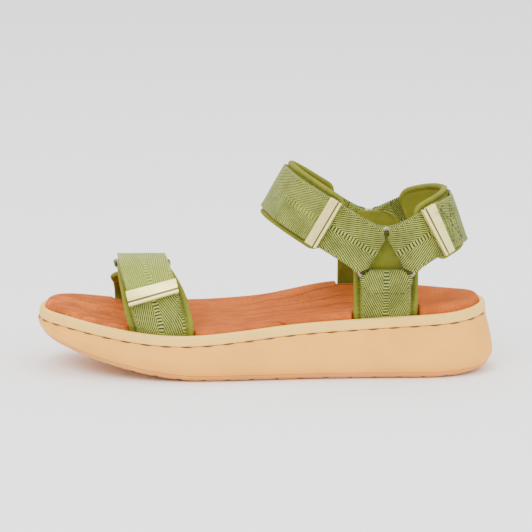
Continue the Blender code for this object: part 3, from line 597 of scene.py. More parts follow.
def pocket_ends():
    """X on the outline of both ends of each strap's pocket, after its side."""
    inset = SIDE_FLARE + RAND_WALL + POCKET_STACK
    half = LINING_WIDTH / 2 + POCKET_END_GAP
    return [(side, *(x - inset * float(inward_at(np.array(x), side)[0])
                     for x in (middle - half, middle + half))) for side, middle in POCKETS]


def even_stations(count):
    return np.array([-math.cos(math.pi * i / count) * SOLE_LENGTH / 2 for i in range(1, count)])


class Outline:
    """The sole's plan outline through chosen stations, from the toe round the outer side and back."""

    def __init__(self, stations):
        self.x = np.concatenate([[-SOLE_LENGTH / 2], stations, [SOLE_LENGTH / 2], stations[::-1]])
        self.side = np.concatenate([[0], -np.ones(len(stations)), [0], np.ones(len(stations))])
        self.plan = np.stack([self.x, side_y(self.x, self.side)], axis=1)
        self.inward = np.zeros_like(self.plan)
        walls = self.side != 0
        self.inward[walls] = inward_at(self.x[walls], self.side[walls])
        self.inward[~walls] = [[1, 0], [-1, 0]]
        self.bottom = bottom_z(self.x)
        self.top = by_share(RAND_TOP, self.x)
        self.flare = by_share(FLARE, self.x)
        self.seam = self.top - RAND_HEIGHT
        self.floor = self.top - RECESS_DEPTH
        self.wall = self.flare + RAND_WALL

    def loop(self, inset, height):
        plan = self.plan + self.inward * np.broadcast_to(inset, len(self.x))[:, None]
        return np.column_stack([plan, np.broadcast_to(height, len(self.x))])


SMOOTH = Outline(even_stations(190))
CENTRE_Y = (SMOOTH.plan[:, 1].min() + SMOOTH.plan[:, 1].max()) / 2
RING_OUTER_Y = middle_mm("outer_ring", 1) + CENTRE_Y
RING_INNER_Y = middle_mm("inner_ring", 1) + CENTRE_Y


# ---------------------------------------------------------------- stitches


STITCH_INPUTS = {"Length": "Float", "Radius": "Float", "Dip": "Float", "Twist": "Float", "Segments": "Int",
                 "Thread": "Material"}


def stitch_tree():
    """Geometry Nodes that sew one stitch of twisted thread at each point of a mesh."""
    tree = bpy.data.node_groups.new("sewn_stitches", "GeometryNodeTree")
    tree.interface.new_socket("Points", in_out="INPUT", socket_type="NodeSocketGeometry")
    for label, kind in STITCH_INPUTS.items():
        tree.interface.new_socket(label, in_out="INPUT", socket_type="NodeSocket" + kind)
    tree.interface.new_socket("Stitches", in_out="OUTPUT", socket_type="NodeSocketGeometry")

    def add(kind, inputs=None, **settings):
        return add_node(tree, kind, inputs, **settings).outputs

    def calc(operation, a, b):
        return add("ShaderNodeMath", {0: a, 1: b}, operation=operation)[0]

    def corner(x, z):
        return add("ShaderNodeCombineXYZ", {"X": x, "Z": z})[0]

    given = add("NodeGroupInput")
    half, dip = calc("MULTIPLY", given["Length"], 0.5), calc("MULTIPLY", given["Dip"], -1.0)
    lean, rise = calc("MULTIPLY", half, 0.7), calc("MULTIPLY", given["Dip"], 0.35)
    back, lean_back = calc("MULTIPLY", half, -1.0), calc("MULTIPLY", lean, -1.0)
    line = add("GeometryNodeCurvePrimitiveBezierSegment", {
        "Resolution": given["Segments"], "Start": corner(back, dip), "Start Handle": corner(lean_back, rise),
        "End Handle": corner(lean, rise), "End": corner(half, dip)})[0]
    share = add("GeometryNodeSplineParameter")["Factor"]
    tilt = calc("MULTIPLY", share, given["Twist"])
    line = add("GeometryNodeSetCurveTilt", {"Curve": line, "Tilt": tilt})[0]
    ply = calc("MULTIPLY", given["Radius"], 0.68)
    plies = add("GeometryNodeCurveStar", {"Points": 3, "Inner Radius": ply, "Outer Radius": given["Radius"]})[0]
    strand = add("GeometryNodeCurveToMesh", {"Curve": line, "Profile Curve": plies, "Fill Caps": True})[0]
    along = add("GeometryNodeInputNamedAttribute", {"Name": "along"}, data_type="FLOAT_VECTOR")["Attribute"]
    up = add("GeometryNodeInputNamedAttribute", {"Name": "up"}, data_type="FLOAT_VECTOR")["Attribute"]
    turn = add("FunctionNodeAlignRotationToVector", {"Vector": along}, axis="X")[0]
    turn = add("FunctionNodeAlignRotationToVector", {"Rotation": turn, "Vector": up}, axis="Z",
               pivot_axis="X")[0]
    sewn = add("GeometryNodeInstanceOnPoints", {
        "Points": given["Points"], "Instance": strand, "Rotation": turn})[0]
    real = add("GeometryNodeRealizeInstances", {"Geometry": sewn})[0]
    done = add("GeometryNodeSetMaterial", {"Geometry": real, "Material": given["Thread"]})[0]
    tree.links.new(done, tree.nodes.new("NodeGroupOutput").inputs[0])
    return tree


def sew(name, runs, size, finish):
    """Stitches at runs of (points, along, up). Size is (length, radius, dip, twist, segments), in metres."""
    mesh = bpy.data.meshes.new(name)
    mesh.from_pydata(np.concatenate([place(run[0]) for run in runs]).tolist(), [], [])
    for label, column in (("along", 1), ("up", 2)):
        values = np.concatenate([run[column] for run in runs]).astype(np.float32)
        mesh.attributes.new(label, "FLOAT_VECTOR", "POINT").data.foreach_set("vector", values.ravel())
    made = bpy.data.objects.new(name, mesh)
    bpy.context.scene.collection.objects.link(made)
    sewing = made.modifiers.new("Sewing", "NODES")
    sewing.node_group = bpy.data.node_groups.get("sewn_stitches") or stitch_tree()
    sockets = {item.name: item.identifier for item in sewing.node_group.interface.items_tree}
    for label, value in zip(STITCH_INPUTS, (*size, finish)):
        sewing[sockets[label]] = value
    bpy.context.view_layer.update()
    graph = bpy.context.evaluated_depsgraph_get()
    real = bpy.data.meshes.new_from_object(made.evaluated_get(graph))
    made.modifiers.remove(sewing)
    made.data = real
    real.name = name
    real.shade_smooth()
    return made


# ---------------------------------------------------------------- sole pieces


def make_midsole(look):
    """The foam cup: widest low down, drawn in to the groove, with a recess for the footbed."""
    o = SMOOTH
    base, rest = o.bottom + OUTSOLE_THICKNESS + GAP / 2, o.seam - GAP / 2
    widest = o.bottom + WIDEST_HEIGHT
    zero = np.zeros_like(base)
    knots = np.array([0, 0.7, 1.5, 2.6, 3.6])
    insets = np.array([zero + 2.4, zero + 0.9, zero, o.flare * 0.42, o.flare - 0.05])
    heights = np.array([base, (base * 3 + widest * 2) / 5, widest, (widest + rest) / 2, rest - 1.1])
    rows = np.linspace(0, knots[-1], 26)
    side = [o.loop(a, h) for a, h in zip(smooth(knots, insets, rows), smooth(knots, heights, rows))]
    lips = [(o.flare + 0.02, rest - 0.5), (o.flare + 0.2, rest - 0.2), (o.flare + 0.6, rest),
            (o.wall, rest), (o.wall, o.floor)]
    points, faces = stacked(side + [o.loop(a, h) for a, h in lips])
    piece = build("foam_midsole", points, faces, foam("moulded foam", look.foam))
    finish_piece(piece, ROOT, "midsole_foam", "midsole")


def make_rand(look):
    """The rim over the groove, with rounded edges."""
    o = SMOOTH
    f, w, s, t = o.flare, o.wall, o.seam, o.top
    profile = [(w, s + GAP / 2), (f + 0.6, s + GAP / 2), (f + 0.2, s + 0.3), (f + 0.02, s + 0.6),
               (f - 0.05, s + 1.1), (f - 0.1, s + 3.0), (f, t - 1.9), (f + 0.22, t - 1.1), (f + 0.6, t - 0.5),
               (f + 1.15, t - 0.12), (f + 1.9, t), (w - 0.9, t), (w - 0.35, t - 0.15), (w, t - 0.6)]
    points, faces = stacked([o.loop(a, h) for a, h in profile], ring=True)
    piece = build("rand_rim", points, faces, foam("rand foam", look.rand, 0.55))
    finish_piece(piece, ROOT, "rand_foam", "rand_band")


def groove_run(pitch):
    """Evenly spaced points along the bottom of the stitched groove."""
    o = SMOOTH
    line = o.loop(o.flare + 0.12, o.seam)
    closed = np.concatenate([line, line[:1]])
    along = run_length(closed)
    count = int(along[-1] / pitch)
    s = (np.arange(count) + 0.5) * along[-1] / count

    def at(s):
        return read(closed, s % along[-1], along)

    tangent = unit(at(s + 1) - at(s - 1))
    outward = unit(np.cross(tangent, [0, 0, 1]))
    outward *= np.sign((outward[:, :2] * at(s)[:, :2]).sum(axis=1))[:, None]
    return at(s), tangent, outward


def make_groove_stitches(look):
    finish = thread("sole thread", look.thread)
    size = (look.stitch_pitch * 0.5, look.stitch_radius, 0.0008, 4 * math.pi, 18)
    piece = sew("groove_stitches", [groove_run(look.stitch_pitch / MM)], size, finish)
    finish_piece(piece, ROOT, "thread", "rand_stitching")


def tread_middles():
    count = int(SOLE_LENGTH / TREAD_PITCH)
    return [(i - (count - 1) / 2) * TREAD_PITCH for i in range(count)]


def make_outsole(look):
    """The tread: straight cuts at the edges that sweep into waves across the middle."""
    slope, middles = 0.3, tread_middles()
    cuts = [m + end * TREAD_WIDTH / 2 + d for m in middles for end in (-1, 1) for d in (-slope, slope)]
    cuts += middles
    plain = [x for x in even_stations(120) if min(abs(x - c) for c in cuts) > 0.5]
    o = Outline(np.array(sorted([c for c in cuts if abs(c) < SOLE_LENGTH / 2 - 1] + plain)))
    off = np.min([abs(o.x - m) for m in middles], axis=0)
    cut = TREAD_DEPTH * np.clip((TREAD_WIDTH / 2 + slope - off) / (2 * slope), 0, 1)
    rim = o.loop(8.0, o.bottom + cut)
    curve = ((6.8, 0.2), (5.6, 0.6), (4.5, 1.27), (3.6, 2.1), (2.9, 2.9), (2.45, OUTSOLE_THICKNESS - 0.25),
             (2.6, OUTSOLE_THICKNESS))
    side = [rim] + [o.loop(inset, o.bottom + np.maximum(up, cut)) for inset, up in curve]
    count, half = len(rim), len(rim) // 2
    top_points, faces = stacked(side, open_start=True)
    points, rows = [top_points], []
    share = np.arange(1, TREAD_COLUMNS) / TREAD_COLUMNS
    fade = np.clip(np.minimum(share, 1 - share) * 5, 0, 1)
    for i in range(1, half):
        a, b = rim[i], rim[count - i]
        row = a + (b - a) * share[:, None]
        row[:, 0] += TREAD_WAVE * fade * np.sin(row[:, 1] * 2 * math.pi / TREAD_WAVE_PITCH)
        points.append(row)
        start = len(top_points) + (i - 1) * len(share)
        rows.append([i, *range(start, start + len(share)), count - i])
    for first, second in zip(rows, rows[1:]):
        faces += list(zip(first, first[1:], second[1:], second))
    faces += [(0, a, b) for a, b in zip(rows[0], rows[0][1:])]
    faces += [(half, a, b) for a, b in zip(rows[-1], rows[-1][1:])]
    rubber = foam("tread rubber", look.rubber, 0.7)
    piece = build("tread_sole", np.concatenate(points), faces, rubber, sharp=40)
    finish_piece(piece, ROOT, "outsole_rubber", "outsole")


def footbed_outline():
    """Stations that follow the notches behind the straps, and the footbed's inset at each."""
    wall, clear = 0.4, 1.0
    ends = [x for _, *pair in pocket_ends() for x in pair]
    even = [x for x in even_stations(150) if min(abs(x - end) for end in ends) > clear]
    o = Outline(np.array(sorted(even + [end + d for end in ends for d in (-wall, wall)])))
    inset = o.wall + GAP
    for side, front, rear in pocket_ends():
        behind = (o.side == side) & (o.x > front) & (o.x < rear)
        inset = np.where(behind, o.wall + POCKET_STACK, inset)
    return o, inset


def make_footbed(look):
    """The suede cover: its underside, a skirt down the recess's wall, a rolled edge and the dished top."""
    o, rim = footbed_outline()

    def top_ring(inward, drop=0.0):
        """A ring of the top, from the edge at inward 0 towards the spine at 1."""
        edge = o.loop((o.wall + POCKET_STACK if inward else rim) + 2 * COVER, 0)
        middle_x = edge[:, 0] * SPINE_SHARE
        spine = np.column_stack([middle_x, by_share(MIDDLE_LINE, middle_x)])
        start = edge[:, :2]
        if 0 < inward < NOTCH_FADE:
            start = start + (o.loop(rim + 2 * COVER, 0)[:, :2] - start) * (1 - inward / NOTCH_FADE)
        plan = start * (1 - inward) + spine * inward
        x = plan[:, 0]
        across = np.clip((plan[:, 1] - by_share(MIDDLE_LINE, x)) / np.maximum(half_width(x), 1) / 0.8, -1, 1)
        outer = by_share(RAND_TOP, x) + by_share(OUTER_RISE, x)
        inner = by_share(RAND_TOP, x) + by_share(INNER_RISE, x)
        share = ((across + 1) / 2) ** ARCH_POWER
        dip = by_share(DISH, x) * (1 - (1 - inward) ** 2)
        return np.column_stack([plan, outer + (inner - outer) * share - dip - drop])

    crest = top_ring(0)[:, 2]
    skirt = o.top - COVER_SKIRT
    inside = [top_ring(r, COVER) for r in (0.6, 0.35, 0.12, 0)]
    inside += [o.loop(rim + COVER, crest - 2 * COVER), o.loop(rim + COVER, skirt)]
    roll = [(0, 2.9), (0.08, 2.2), (0.3, 1.6), (0.7, 1.0), (1.25, 0.5), (2.0, 0.16)]
    outside = [o.loop(rim, skirt), o.loop(rim, (skirt + crest - 2.9) / 2)]
    outside += [o.loop(rim + a, crest - drop) for a, drop in roll]
    outside += [top_ring(r) for r in np.linspace(0, 0.94, 30)]
    points, faces = stacked(inside + outside)
    piece = build("suede_footbed", points, faces, suede("suede", look.suede))
    finish_piece(piece, ROOT, "suede", "footbed_cover")


# ---------------------------------------------------------------- strap routes


def wall_y(x, side):
    wall = SMOOTH.loop(SMOOTH.wall, 0)[SMOOTH.side == side]
    order = np.argsort(wall[:, 0])
    return np.interp(x, wall[order, 0], wall[order, 1])


def pocket_line(x, side):
    return float(wall_y(x, side)) - side * (POCKET_GAP + WEBBING + GAP / 2)


def pocket_floor(x):
    return float(by_share(RAND_TOP, x)) - POCKET_DEPTH


def edge_z(x, side):
    return float(by_share(RAND_TOP, x) + by_share(INNER_RISE if side > 0 else OUTER_RISE, x))


def follow_wall(side, middle, fade_over=10.0):
    """Bends points to the sole's curved wall and floor, less and less above the footbed's edge."""
    start = edge_z(middle, side)

    def fit(points):
        bent = points.copy()
        x = points[..., 0]
        fade = np.clip((start + fade_over - points[..., 2]) / fade_over, 0, 1)
        bent[..., 1] += (wall_y(x, side) - wall_y(middle, side)) * fade
        bent[..., 2] += (by_share(RAND_TOP, x) - by_share(RAND_TOP, middle)) * fade
        return bent
    return fit


class Route:
    """A strap's middle surface: a smooth line, the direction of its width, and the way out from the foot."""

    def __init__(self, points, sides, hand):
        points = np.array(points, float)
        chord = run_length(points)
        fine = np.linspace(0, chord[-1], 600)
        self.line = smooth(chord, points, fine)
        self.along = run_length(self.line)
        self.length = self.along[-1]
        self.tangent = unit(np.gradient(self.line, self.along, axis=0))
        hint = read(np.array(sides, float), fine / chord[-1], np.linspace(0, 1, len(sides)))
        hint -= self.tangent * (hint * self.tangent).sum(axis=1)[:, None]
        self.side, self.hand = unit(hint), hand
        self.out = hand * np.cross(self.side, self.tangent)

    def look(self, field, s):
        """A field of the route, such as its side, at s; past an end it stays as it is there."""
        return read(field, s, self.along)

    def at(self, s, level):
        """Points at s along the route and so far out; past an end the route goes straight on."""
        s = np.atleast_1d(np.asarray(s, float))
        level = np.broadcast_to(level, s.shape)[:, None]
        inside = np.clip(s, 0, self.length)
        return (self.look(self.line, inside) + self.look(self.tangent, inside) * (s - inside)[:, None]
                + self.look(self.out, inside) * level)


def instep_route():
    """From the outer ring, round the front of the ankle, to the inner ring."""
    rise = math.radians(30)
    along = np.array([-math.cos(rise), 0, math.sin(rise)])
    wide = np.array([math.sin(rise), 0, math.cos(rise)])
    start = np.array([ANKLE_OUTER_X - RING_SIDE / 4, 0, RING_BASE_Z + RING_HEIGHT / 2])
    offset = ANKLE_OUTER_X - ANKLE_INNER_X
    last = (-offset * along[0], RING_INNER_Y, -offset * wide[0])
    knots = [(0, RING_OUTER_Y, 0), (15, RING_OUTER_Y + 1.3, 0), (30, -28.5, 0), (42, -23.5, 0),
             (53, -16.5, 0), (60.6, -8.5, 0), (63.3, 0, 0), (60.6, 8.5, -0.5), (53, 15.5, -1.2),
             (40, 20.5, -2.2), (25, RING_INNER_Y - 2.2, -3.4), last]
    return Route([start + along * s + wide * w + [0, y, 0] for s, y, w in knots], [wide] * 2, 1)


def heel_route():
    """From the outer ring, round the back of the heel, to the inner ring."""
    wide = (-0.5, 0, math.cos(math.radians(30)))
    middle = RING_BASE_Z + RING_HEIGHT / 2
    first, final = ANKLE_OUTER_X + RING_SIDE / 4, ANKLE_INNER_X + RING_SIDE / 4
    points = [(first, RING_OUTER_Y, middle), (first + 11, RING_OUTER_Y + 0.8, middle + 6.3),
              (first + 20.3, -27.5, middle + 11.3), (first + 28.3, -18, middle + 14.3),
              (first + 31.8, -6, middle + 15.3), (first + 31.8, 4, middle + 15.3),
              (first + 27.8, 15.5, middle + 14.6), (first + 18.3, 23.5, middle + 12.3),
              (final + 11, RING_INNER_Y - 0.8, middle + 6.3), (final, RING_INNER_Y, middle)]
    upright = (-0.28, 0, 0.96)
    return Route(points, [wide, (-0.4, 0, 0.92), upright, (-0.4, 0, 0.92), wide], -1)


def forefoot_route():
    """From the pocket on the outer side, over the foot, to the pocket on the inner side."""
    outer, inner = FRONT_OUTER_X, FRONT_INNER_X
    outer_y, inner_y = pocket_line(outer, -1), pocket_line(inner, 1)
    outer_edge, inner_edge = edge_z(outer, -1), edge_z(inner, 1)
    points = [(outer, outer_y, pocket_floor(outer)), (outer, outer_y, outer_edge - 3),
              (outer, outer_y, outer_edge + 1), (outer - 2, outer_y + 1.9, 38.5),
              (outer - 5, outer_y + 5.2, 48.8)]
    crown = [(outer - 9, 0.187, 58.3), (outer - 12, 0.368, 62.3), (outer - 13, 0.542, 60.4),
             (outer - 13, 0.704, 54), (inner - 0.5, 0.853, 45.7)]
    points += [(x, outer_y + share * (inner_y - outer_y), z) for x, share, z in crown]
    points += [(inner, inner_y - 4.6, 38.5), (inner, inner_y, inner_edge + 1),
               (inner, inner_y, inner_edge - 3), (inner, inner_y, pocket_floor(inner))]
    return Route(points, [(1, 0, 0)] * 2, 1)


def anchor_route(x, ring_y, side):
    """Straight up from a pocket's floor to the top of its ring."""
    ends = [(x, ring_y, pocket_floor(x)), (x, ring_y, RING_BASE_Z + RING_HEIGHT)]
    return Route(ends, [(1, 0, 0)] * 2, -side)


# ---------------------------------------------------------------- strap strips


def span(start, end, level):
    """Rows from start to end at even places that all strips share."""
    low, high = sorted((start, end))
    shared = [k * ROW_PITCH for k in range(int(high / ROW_PITCH) + 2)]
    inner = [s for s in shared if low + ROW_PITCH / 4 < s < high - ROW_PITCH / 4]
    rows = [(s, level) for s in [low, *inner, high]]
    return rows if start < end else rows[::-1]


def turn_round(bar, level, heading, tail):
    """Rows of webbing that loops round a bar: its tail, then the turn, up to the main run."""
    gathered = 12.0
    rows = [(bar + heading * tail, level - STRAP_LEVEL - GAP / 4),
            (bar + heading * gathered / 2, level - LOOP_RADIUS * 0.86)]
    steps = 7
    for i in range(steps):
        angle = math.pi * i / (steps - 1)
        back = LOOP_RADIUS * math.sin(angle)
        wide = WEBBING_WIDTH - (WEBBING_WIDTH - LOOP_TONGUE) * back / LOOP_RADIUS
        rows.append((bar - heading * back, level - LOOP_RADIUS * math.cos(angle), wide))
    return rows + [(bar + heading * gathered / 2, level + LOOP_RADIUS * 0.86)]


class Strip:
    """A strip along a route through rows of (s, level) or (s, level, width), read finely."""

    def __init__(self, route, rows, width, step=0.8, fit=None):
        rows = np.array([(*row, width)[:3] for row in rows], float)
        chord = run_length(rows[:, :2])
        self.along = np.linspace(0, chord[-1], int(chord[-1] / step) + 2)
        self.s, self.level, self.width = smooth(chord, rows, self.along).T
        self.centre = route.at(self.s, self.level)
        self.travel = unit(np.gradient(self.centre, axis=0))
        self.side = route.look(route.side, self.s)
        self.normal = route.hand * np.cross(self.side, self.travel)
        self.normal *= np.sign(self.normal[-2] @ route.look(route.out, self.s)[-2])
        self.fit = fit or (lambda points: points)

    def surface(self, row, across, out):
        """Points at fractional rows, so far across the strip and so far out from its middle."""
        index = np.arange(len(self.s))
        centre, side, normal, travel = (read(field, row, index)
                                        for field in (self.centre, self.side, self.normal, self.travel))
        points = self.fit(centre + side * np.reshape(across, (-1, 1)) + normal * np.reshape(out, (-1, 1)))
        return points, side, unit(normal), unit(travel)


def web_shape(across, width, along):
    """A little extra thickness at both selvedges and along the middle ladder."""
    selvedge = np.exp(-((width / 2 - 1.0 - abs(across)) / 0.7) ** 2) * 0.12
    return selvedge + np.exp(-(across / 1.2) ** 2) * 0.08, selvedge


def pad_shape(roll, seam, pucker, crown):
    """A rolled rim, a sewn channel beside it that puckers at each stitch, and a crowned foot side."""
    def shape(across, width, along):
        aside = width / 2 - abs(across)
        rim = np.exp(-((aside - 1.5) / 1.2) ** 2) * roll
        channel = np.exp(-((aside - CHANNEL_INSET) / 0.55) ** 2) * seam
        channel = channel * (1 + pucker * np.cos(2 * math.pi * along / PUCKER_PITCH))
        uneven = 0.1 * np.sin(along / 5.3 + 0.8 * np.sin(across / 4)) * np.clip(aside / 3, 0, 1)
        swell = crown * np.clip(1 - (2 * across / width) ** 2, 0, 1)
        return rim - channel + uneven, rim - channel * 0.6 + swell
    return shape


def make_strip(name, strip, thickness, finish, shape=web_shape, columns=45):
    """A closed strip with rounded edges, its thickness worked by a shape of (outer, foot side) extras."""
    share = np.sin(np.linspace(-math.pi / 2, math.pi / 2, columns))
    across = share[None, :] * strip.width[:, None] / 2
    along = np.broadcast_to(strip.along[:, None], across.shape)
    width, edge = strip.width[:, None], thickness / 2
    into = np.clip((abs(across) - (width / 2 - edge)) / edge, 0, 1)
    body = edge * np.sqrt(1 - into**2)
    outer, foot = (extra * np.clip(body / edge, 0, 1) for extra in shape(across, width, along))
    wave = RIPPLE * np.sin(along / 7.0 + 1.3) * np.sin(across / 6.0 + 0.4)
    faces_of = [strip.centre[:, None] + strip.side[:, None] * across[..., None]
                + strip.normal[:, None] * height[..., None]
                for height in (body + outer + wave, -body - foot + wave)]
    mapped = np.stack([across, along], -1)
    points, weave = (np.concatenate([over, under[:, -2:0:-1]], axis=1)
                     for over, under in (faces_of, (mapped, mapped)))
    number, count = points.shape[:2]
    faces = quad_rows(number, count)
    for base in (0, (number - 1) * count):
        under = [0, *range(count - 1, columns - 1, -1), columns - 1]
        quads = [(k, k + 1, under[k + 1], under[k]) for k in range(columns - 1)]
        faces += [tuple(base + v for v in dict.fromkeys(quad)) for quad in quads]
    return build(name, strip.fit(points).reshape(-1, 3), faces, finish, weave.reshape(-1, 2))


def stitch_line(strip, start, end, across, out, pitch):
    """A run of stitches from row s=start to s=end along a strip, or across it where across is a pair."""
    low, high = (float(np.interp(s, *order_rows(strip))) for s in (start, end))
    step = np.linalg.norm(strip.centre[1] - strip.centre[0])
    first, last = (across, across) if np.isscalar(across) else across
    run = math.hypot((high - low) * step, last - first)
    count = max(2, int(run / pitch))
    share = (np.arange(count) + 0.5) / count
    row, aside = low + (high - low) * share, first + (last - first) * share
    points, side, up, travel = strip.surface(row, aside, out)
    along = unit(travel * (high - low) * step / run + side * (last - first) / run)
    return points, along, up


def order_rows(strip):
    """The strip's s values in rising order with their row numbers, over its last run in one direction."""
    s = strip.s
    rising = s[-1] > s[-2]
    start = len(s) - 1
    while start > 0 and (s[start - 1] < s[start]) == rising:
        start -= 1
    rows = np.arange(start, len(s))
    return (s[start:], rows) if rising else (s[start:][::-1], rows[::-1])


# ---------------------------------------------------------------- wire and clips


def wire_path(corners, radius, steps=7):
    """A closed path through corners, each rounded by an arc."""
    path = []
    for i, corner in enumerate(corners):
        before = unit(corners[i - 1] - corner)
        after = unit(corners[(i + 1) % len(corners)] - corner)
        half = math.acos(float(np.clip(before @ after, -1, 1))) / 2
        centre = corner + unit(before + after) * radius / math.sin(half)
        start = (corner + before * radius / math.tan(half) - centre) / radius
        stop = (corner + after * radius / math.tan(half) - centre) / radius
        swing = math.pi - 2 * half
        for k in range(steps + 1):
            t = k / steps
            path.append(centre + (math.sin((1 - t) * swing) * start + math.sin(t * swing) * stop)
                        / math.sin(swing) * radius)
    rounded = []
    for i, point in enumerate(path):
        following = path[(i + 1) % len(path)]
        pieces = max(1, int(np.linalg.norm(following - point) / 2.5))
        rounded += [point + (following - point) * k / pieces for k in range(pieces)]
    return np.array(rounded)


def make_wire(name, corners, look, node, sides=20):
    """A closed ring of round wire in the plane of its corners."""
    corners = np.array(corners, float)
    path = wire_path(corners, RING_CORNER)
    normal = unit(np.cross(corners[1] - corners[0], corners[2] - corners[0]))
    travel = unit(np.roll(path, -1, axis=0) - np.roll(path, 1, axis=0))
    aside = unit(np.cross(normal, travel))
    angles = np.arange(sides) * 2 * math.pi / sides
    points = (path[:, None] + WIRE_RADIUS * (np.cos(angles)[None, :, None] * aside[:, None]
                                             + np.sin(angles)[None, :, None] * normal))
    piece = build(name, points.reshape(-1, 3), quad_rows(len(path), sides, ring=True), silver(look))
    finish_piece(piece, node, "ring_wire", node)


def make_clip(prefix, route, end, look):
    """A folded metal clip: a plate over each face of the webbing, and a bead along the nose."""
    outer, inner = FLAP_LEVEL + WEBBING / 2 + GAP, FLAP_LEVEL - WEBBING / 2 - GAP
    mouth, edge = end + TIP_LENGTH, end - GAP
    nose, plate, bead = edge - TIP_PLATE, TIP_PLATE, 1.5
    middle = mouth - TIP_LENGTH / 2
    profile = [(mouth, outer), (mouth, outer + plate * 0.6), (mouth - 0.25, outer + plate),
               (middle, outer + plate), (nose + bead + 0.8, outer + plate),
               (nose + bead + 0.7, outer + plate * 0.2), (nose + bead + 0.1, outer + plate * 0.2)]
    profile += [(nose + bead / 2 * (1 + math.cos(a)) * 0.98, outer + plate * 0.75 + 0.55 * math.sin(a))
                for a in np.linspace(0.35, math.pi - 0.5, 6)]
    profile += [(nose - 0.1, outer - 0.2), (nose - 0.1, inner + 0.2), (nose + 0.25, inner - plate * 0.8)]
    profile += [(nose + 0.8, inner - plate), (middle, inner - plate), (mouth - 0.2, inner - plate),
                (mouth, inner - plate * 0.6), (mouth, inner), (middle, inner), (edge, inner), (edge, outer),
                (middle, outer)]
    columns, count = 15, len(profile)
    s, level = np.array(profile).T
    centre, side = route.at(s, level), route.look(route.side, s)
    points = np.array([centre + side * TIP_WIDTH * c for c in np.linspace(-0.5, 0.5, columns)])
    weave = np.tile(np.column_stack([s - end, level]), (columns, 1))
    faces = quad_rows(columns, count)
    faces += [tuple(base + i for i in range(count)) for base in (0, (columns - 1) * count)]
    piece = build(prefix + "_end_clip", points.reshape(-1, 3), faces, gold(look), weave, sharp=30)
    bevel = piece.modifiers.new("Softened edges", "BEVEL")
    bevel.width, bevel.segments, bevel.limit_method = 0.12 * MM, 2, "ANGLE"
    bevel.angle_limit = math.radians(40)
    finish_piece(piece, prefix + "_flap", "tip_metal", prefix + "_tip")


# ---------------------------------------------------------------- strap pieces


def rim_seams(strip, start, end, look, width, thickness):
    """Stitches down both rims of a lining, beside the webbing."""
    pitch, aside, out = look.seam_pitch / MM, width / 2 - CHANNEL_INSET, thickness / 2 - 0.12
    return [stitch_line(strip, start, end, side * aside, out, pitch) for side in (-1, 1)]


def bar_seam(strip, s):
    """A row of stitches across webbing, where it is sewn down behind the wire it loops round."""
    return stitch_line(strip, s, s, BAR_SEAM, WEBBING / 2 + 0.05, 3.3)


def make_web(name, strip, finish, node, body=ROOT):
    finish_piece(make_strip(name, strip, WEBBING, finish), body, "webbing", node)


def make_lining(name, strip, node, seam, look, runs):
    """A padded lining under webbing, with stitches down its rims between two places."""
    piece = make_strip(name, strip, LINING, shared("brushed lining", lining, look.lining),
                       shape=pad_shape(0.45, 0.4, 0.4, 0.25), columns=61)
    finish_piece(piece, ROOT, "lining", node)
    runs["seam"] += rim_seams(strip, *seam, look, LINING_WIDTH, LINING)


def make_anchor(prefix, x, ring_y, side, scene, runs):
    """The webbing and lining that stand up from the sole, and the ring at their top."""
    look = scene.sandal_straps
    route, foot_z = anchor_route(x, ring_y, side), pocket_floor(x)
    shift = side * (pocket_line(x, side) - ring_y)
    bar, edge, top = RING_BASE_Z - foot_z, edge_z(x, side) - foot_z, LINING_TOP_Z - foot_z
    fit = follow_wall(side, x)
    rows = turn_round(bar, 0, -1, 9) + [(bar - 11, STRAP_LEVEL)] + span(edge, 0, shift + STRAP_LEVEL)
    strip = Strip(route, rows, WEBBING_WIDTH, fit=fit)
    make_web(prefix + "_anchor_strap", strip, web_face(look), prefix + "_anchor_webbing")
    runs["row"].append(bar_seam(strip, bar - 9.5))
    behind = LOOP_RADIUS + WEBBING / 2 + GAP + LINING / 2
    tail = min(shift - GAP / 2, -STRAP_LEVEL - WEBBING / 2 - GAP) - LINING / 2
    rows = span(0, edge, shift - GAP / 2 - LINING / 2)
    rows += [(bar - 10, tail - GAP), (bar - 5, -behind), (bar + 8, -behind), (top - 9, -behind),
             (top - 4, -behind, 33), (top - 1.2, -behind, 26), (top, -behind, 19)]
    make_lining(prefix + "_anchor_cushion", Strip(route, rows, LINING_WIDTH, fit=fit),
                prefix + "_anchor_lining", (6, top - 6), look, runs)
    corners = [(x - RING_SIDE / 2, ring_y, RING_BASE_Z), (x + RING_SIDE / 2, ring_y, RING_BASE_Z),
               (x, ring_y, RING_BASE_Z + RING_HEIGHT)]
    make_wire(prefix + "_wire_ring", corners, scene.sandal_fittings, prefix + "_ring")


def rounded_rows(start, end, level, width, corner):
    """Rows of a pad whose ends are rounded in plan."""
    gaps = [corner * (1 - math.cos(math.radians(a))) for a in (0, 20, 40, 60, 80)]
    narrow = [width - 2 * (corner - math.sqrt(max(corner**2 - (corner - gap) ** 2, 0))) for gap in gaps]
    head = [(start + gap, level, wide) for gap, wide in zip(gaps, narrow)]
    tail = [(end - gap, level, wide) for gap, wide in zip(gaps, narrow)]
    inner = [(s, level, width) for s, _ in span(start, end, level) if start + corner < s < end - corner]
    return head + inner + tail[::-1]


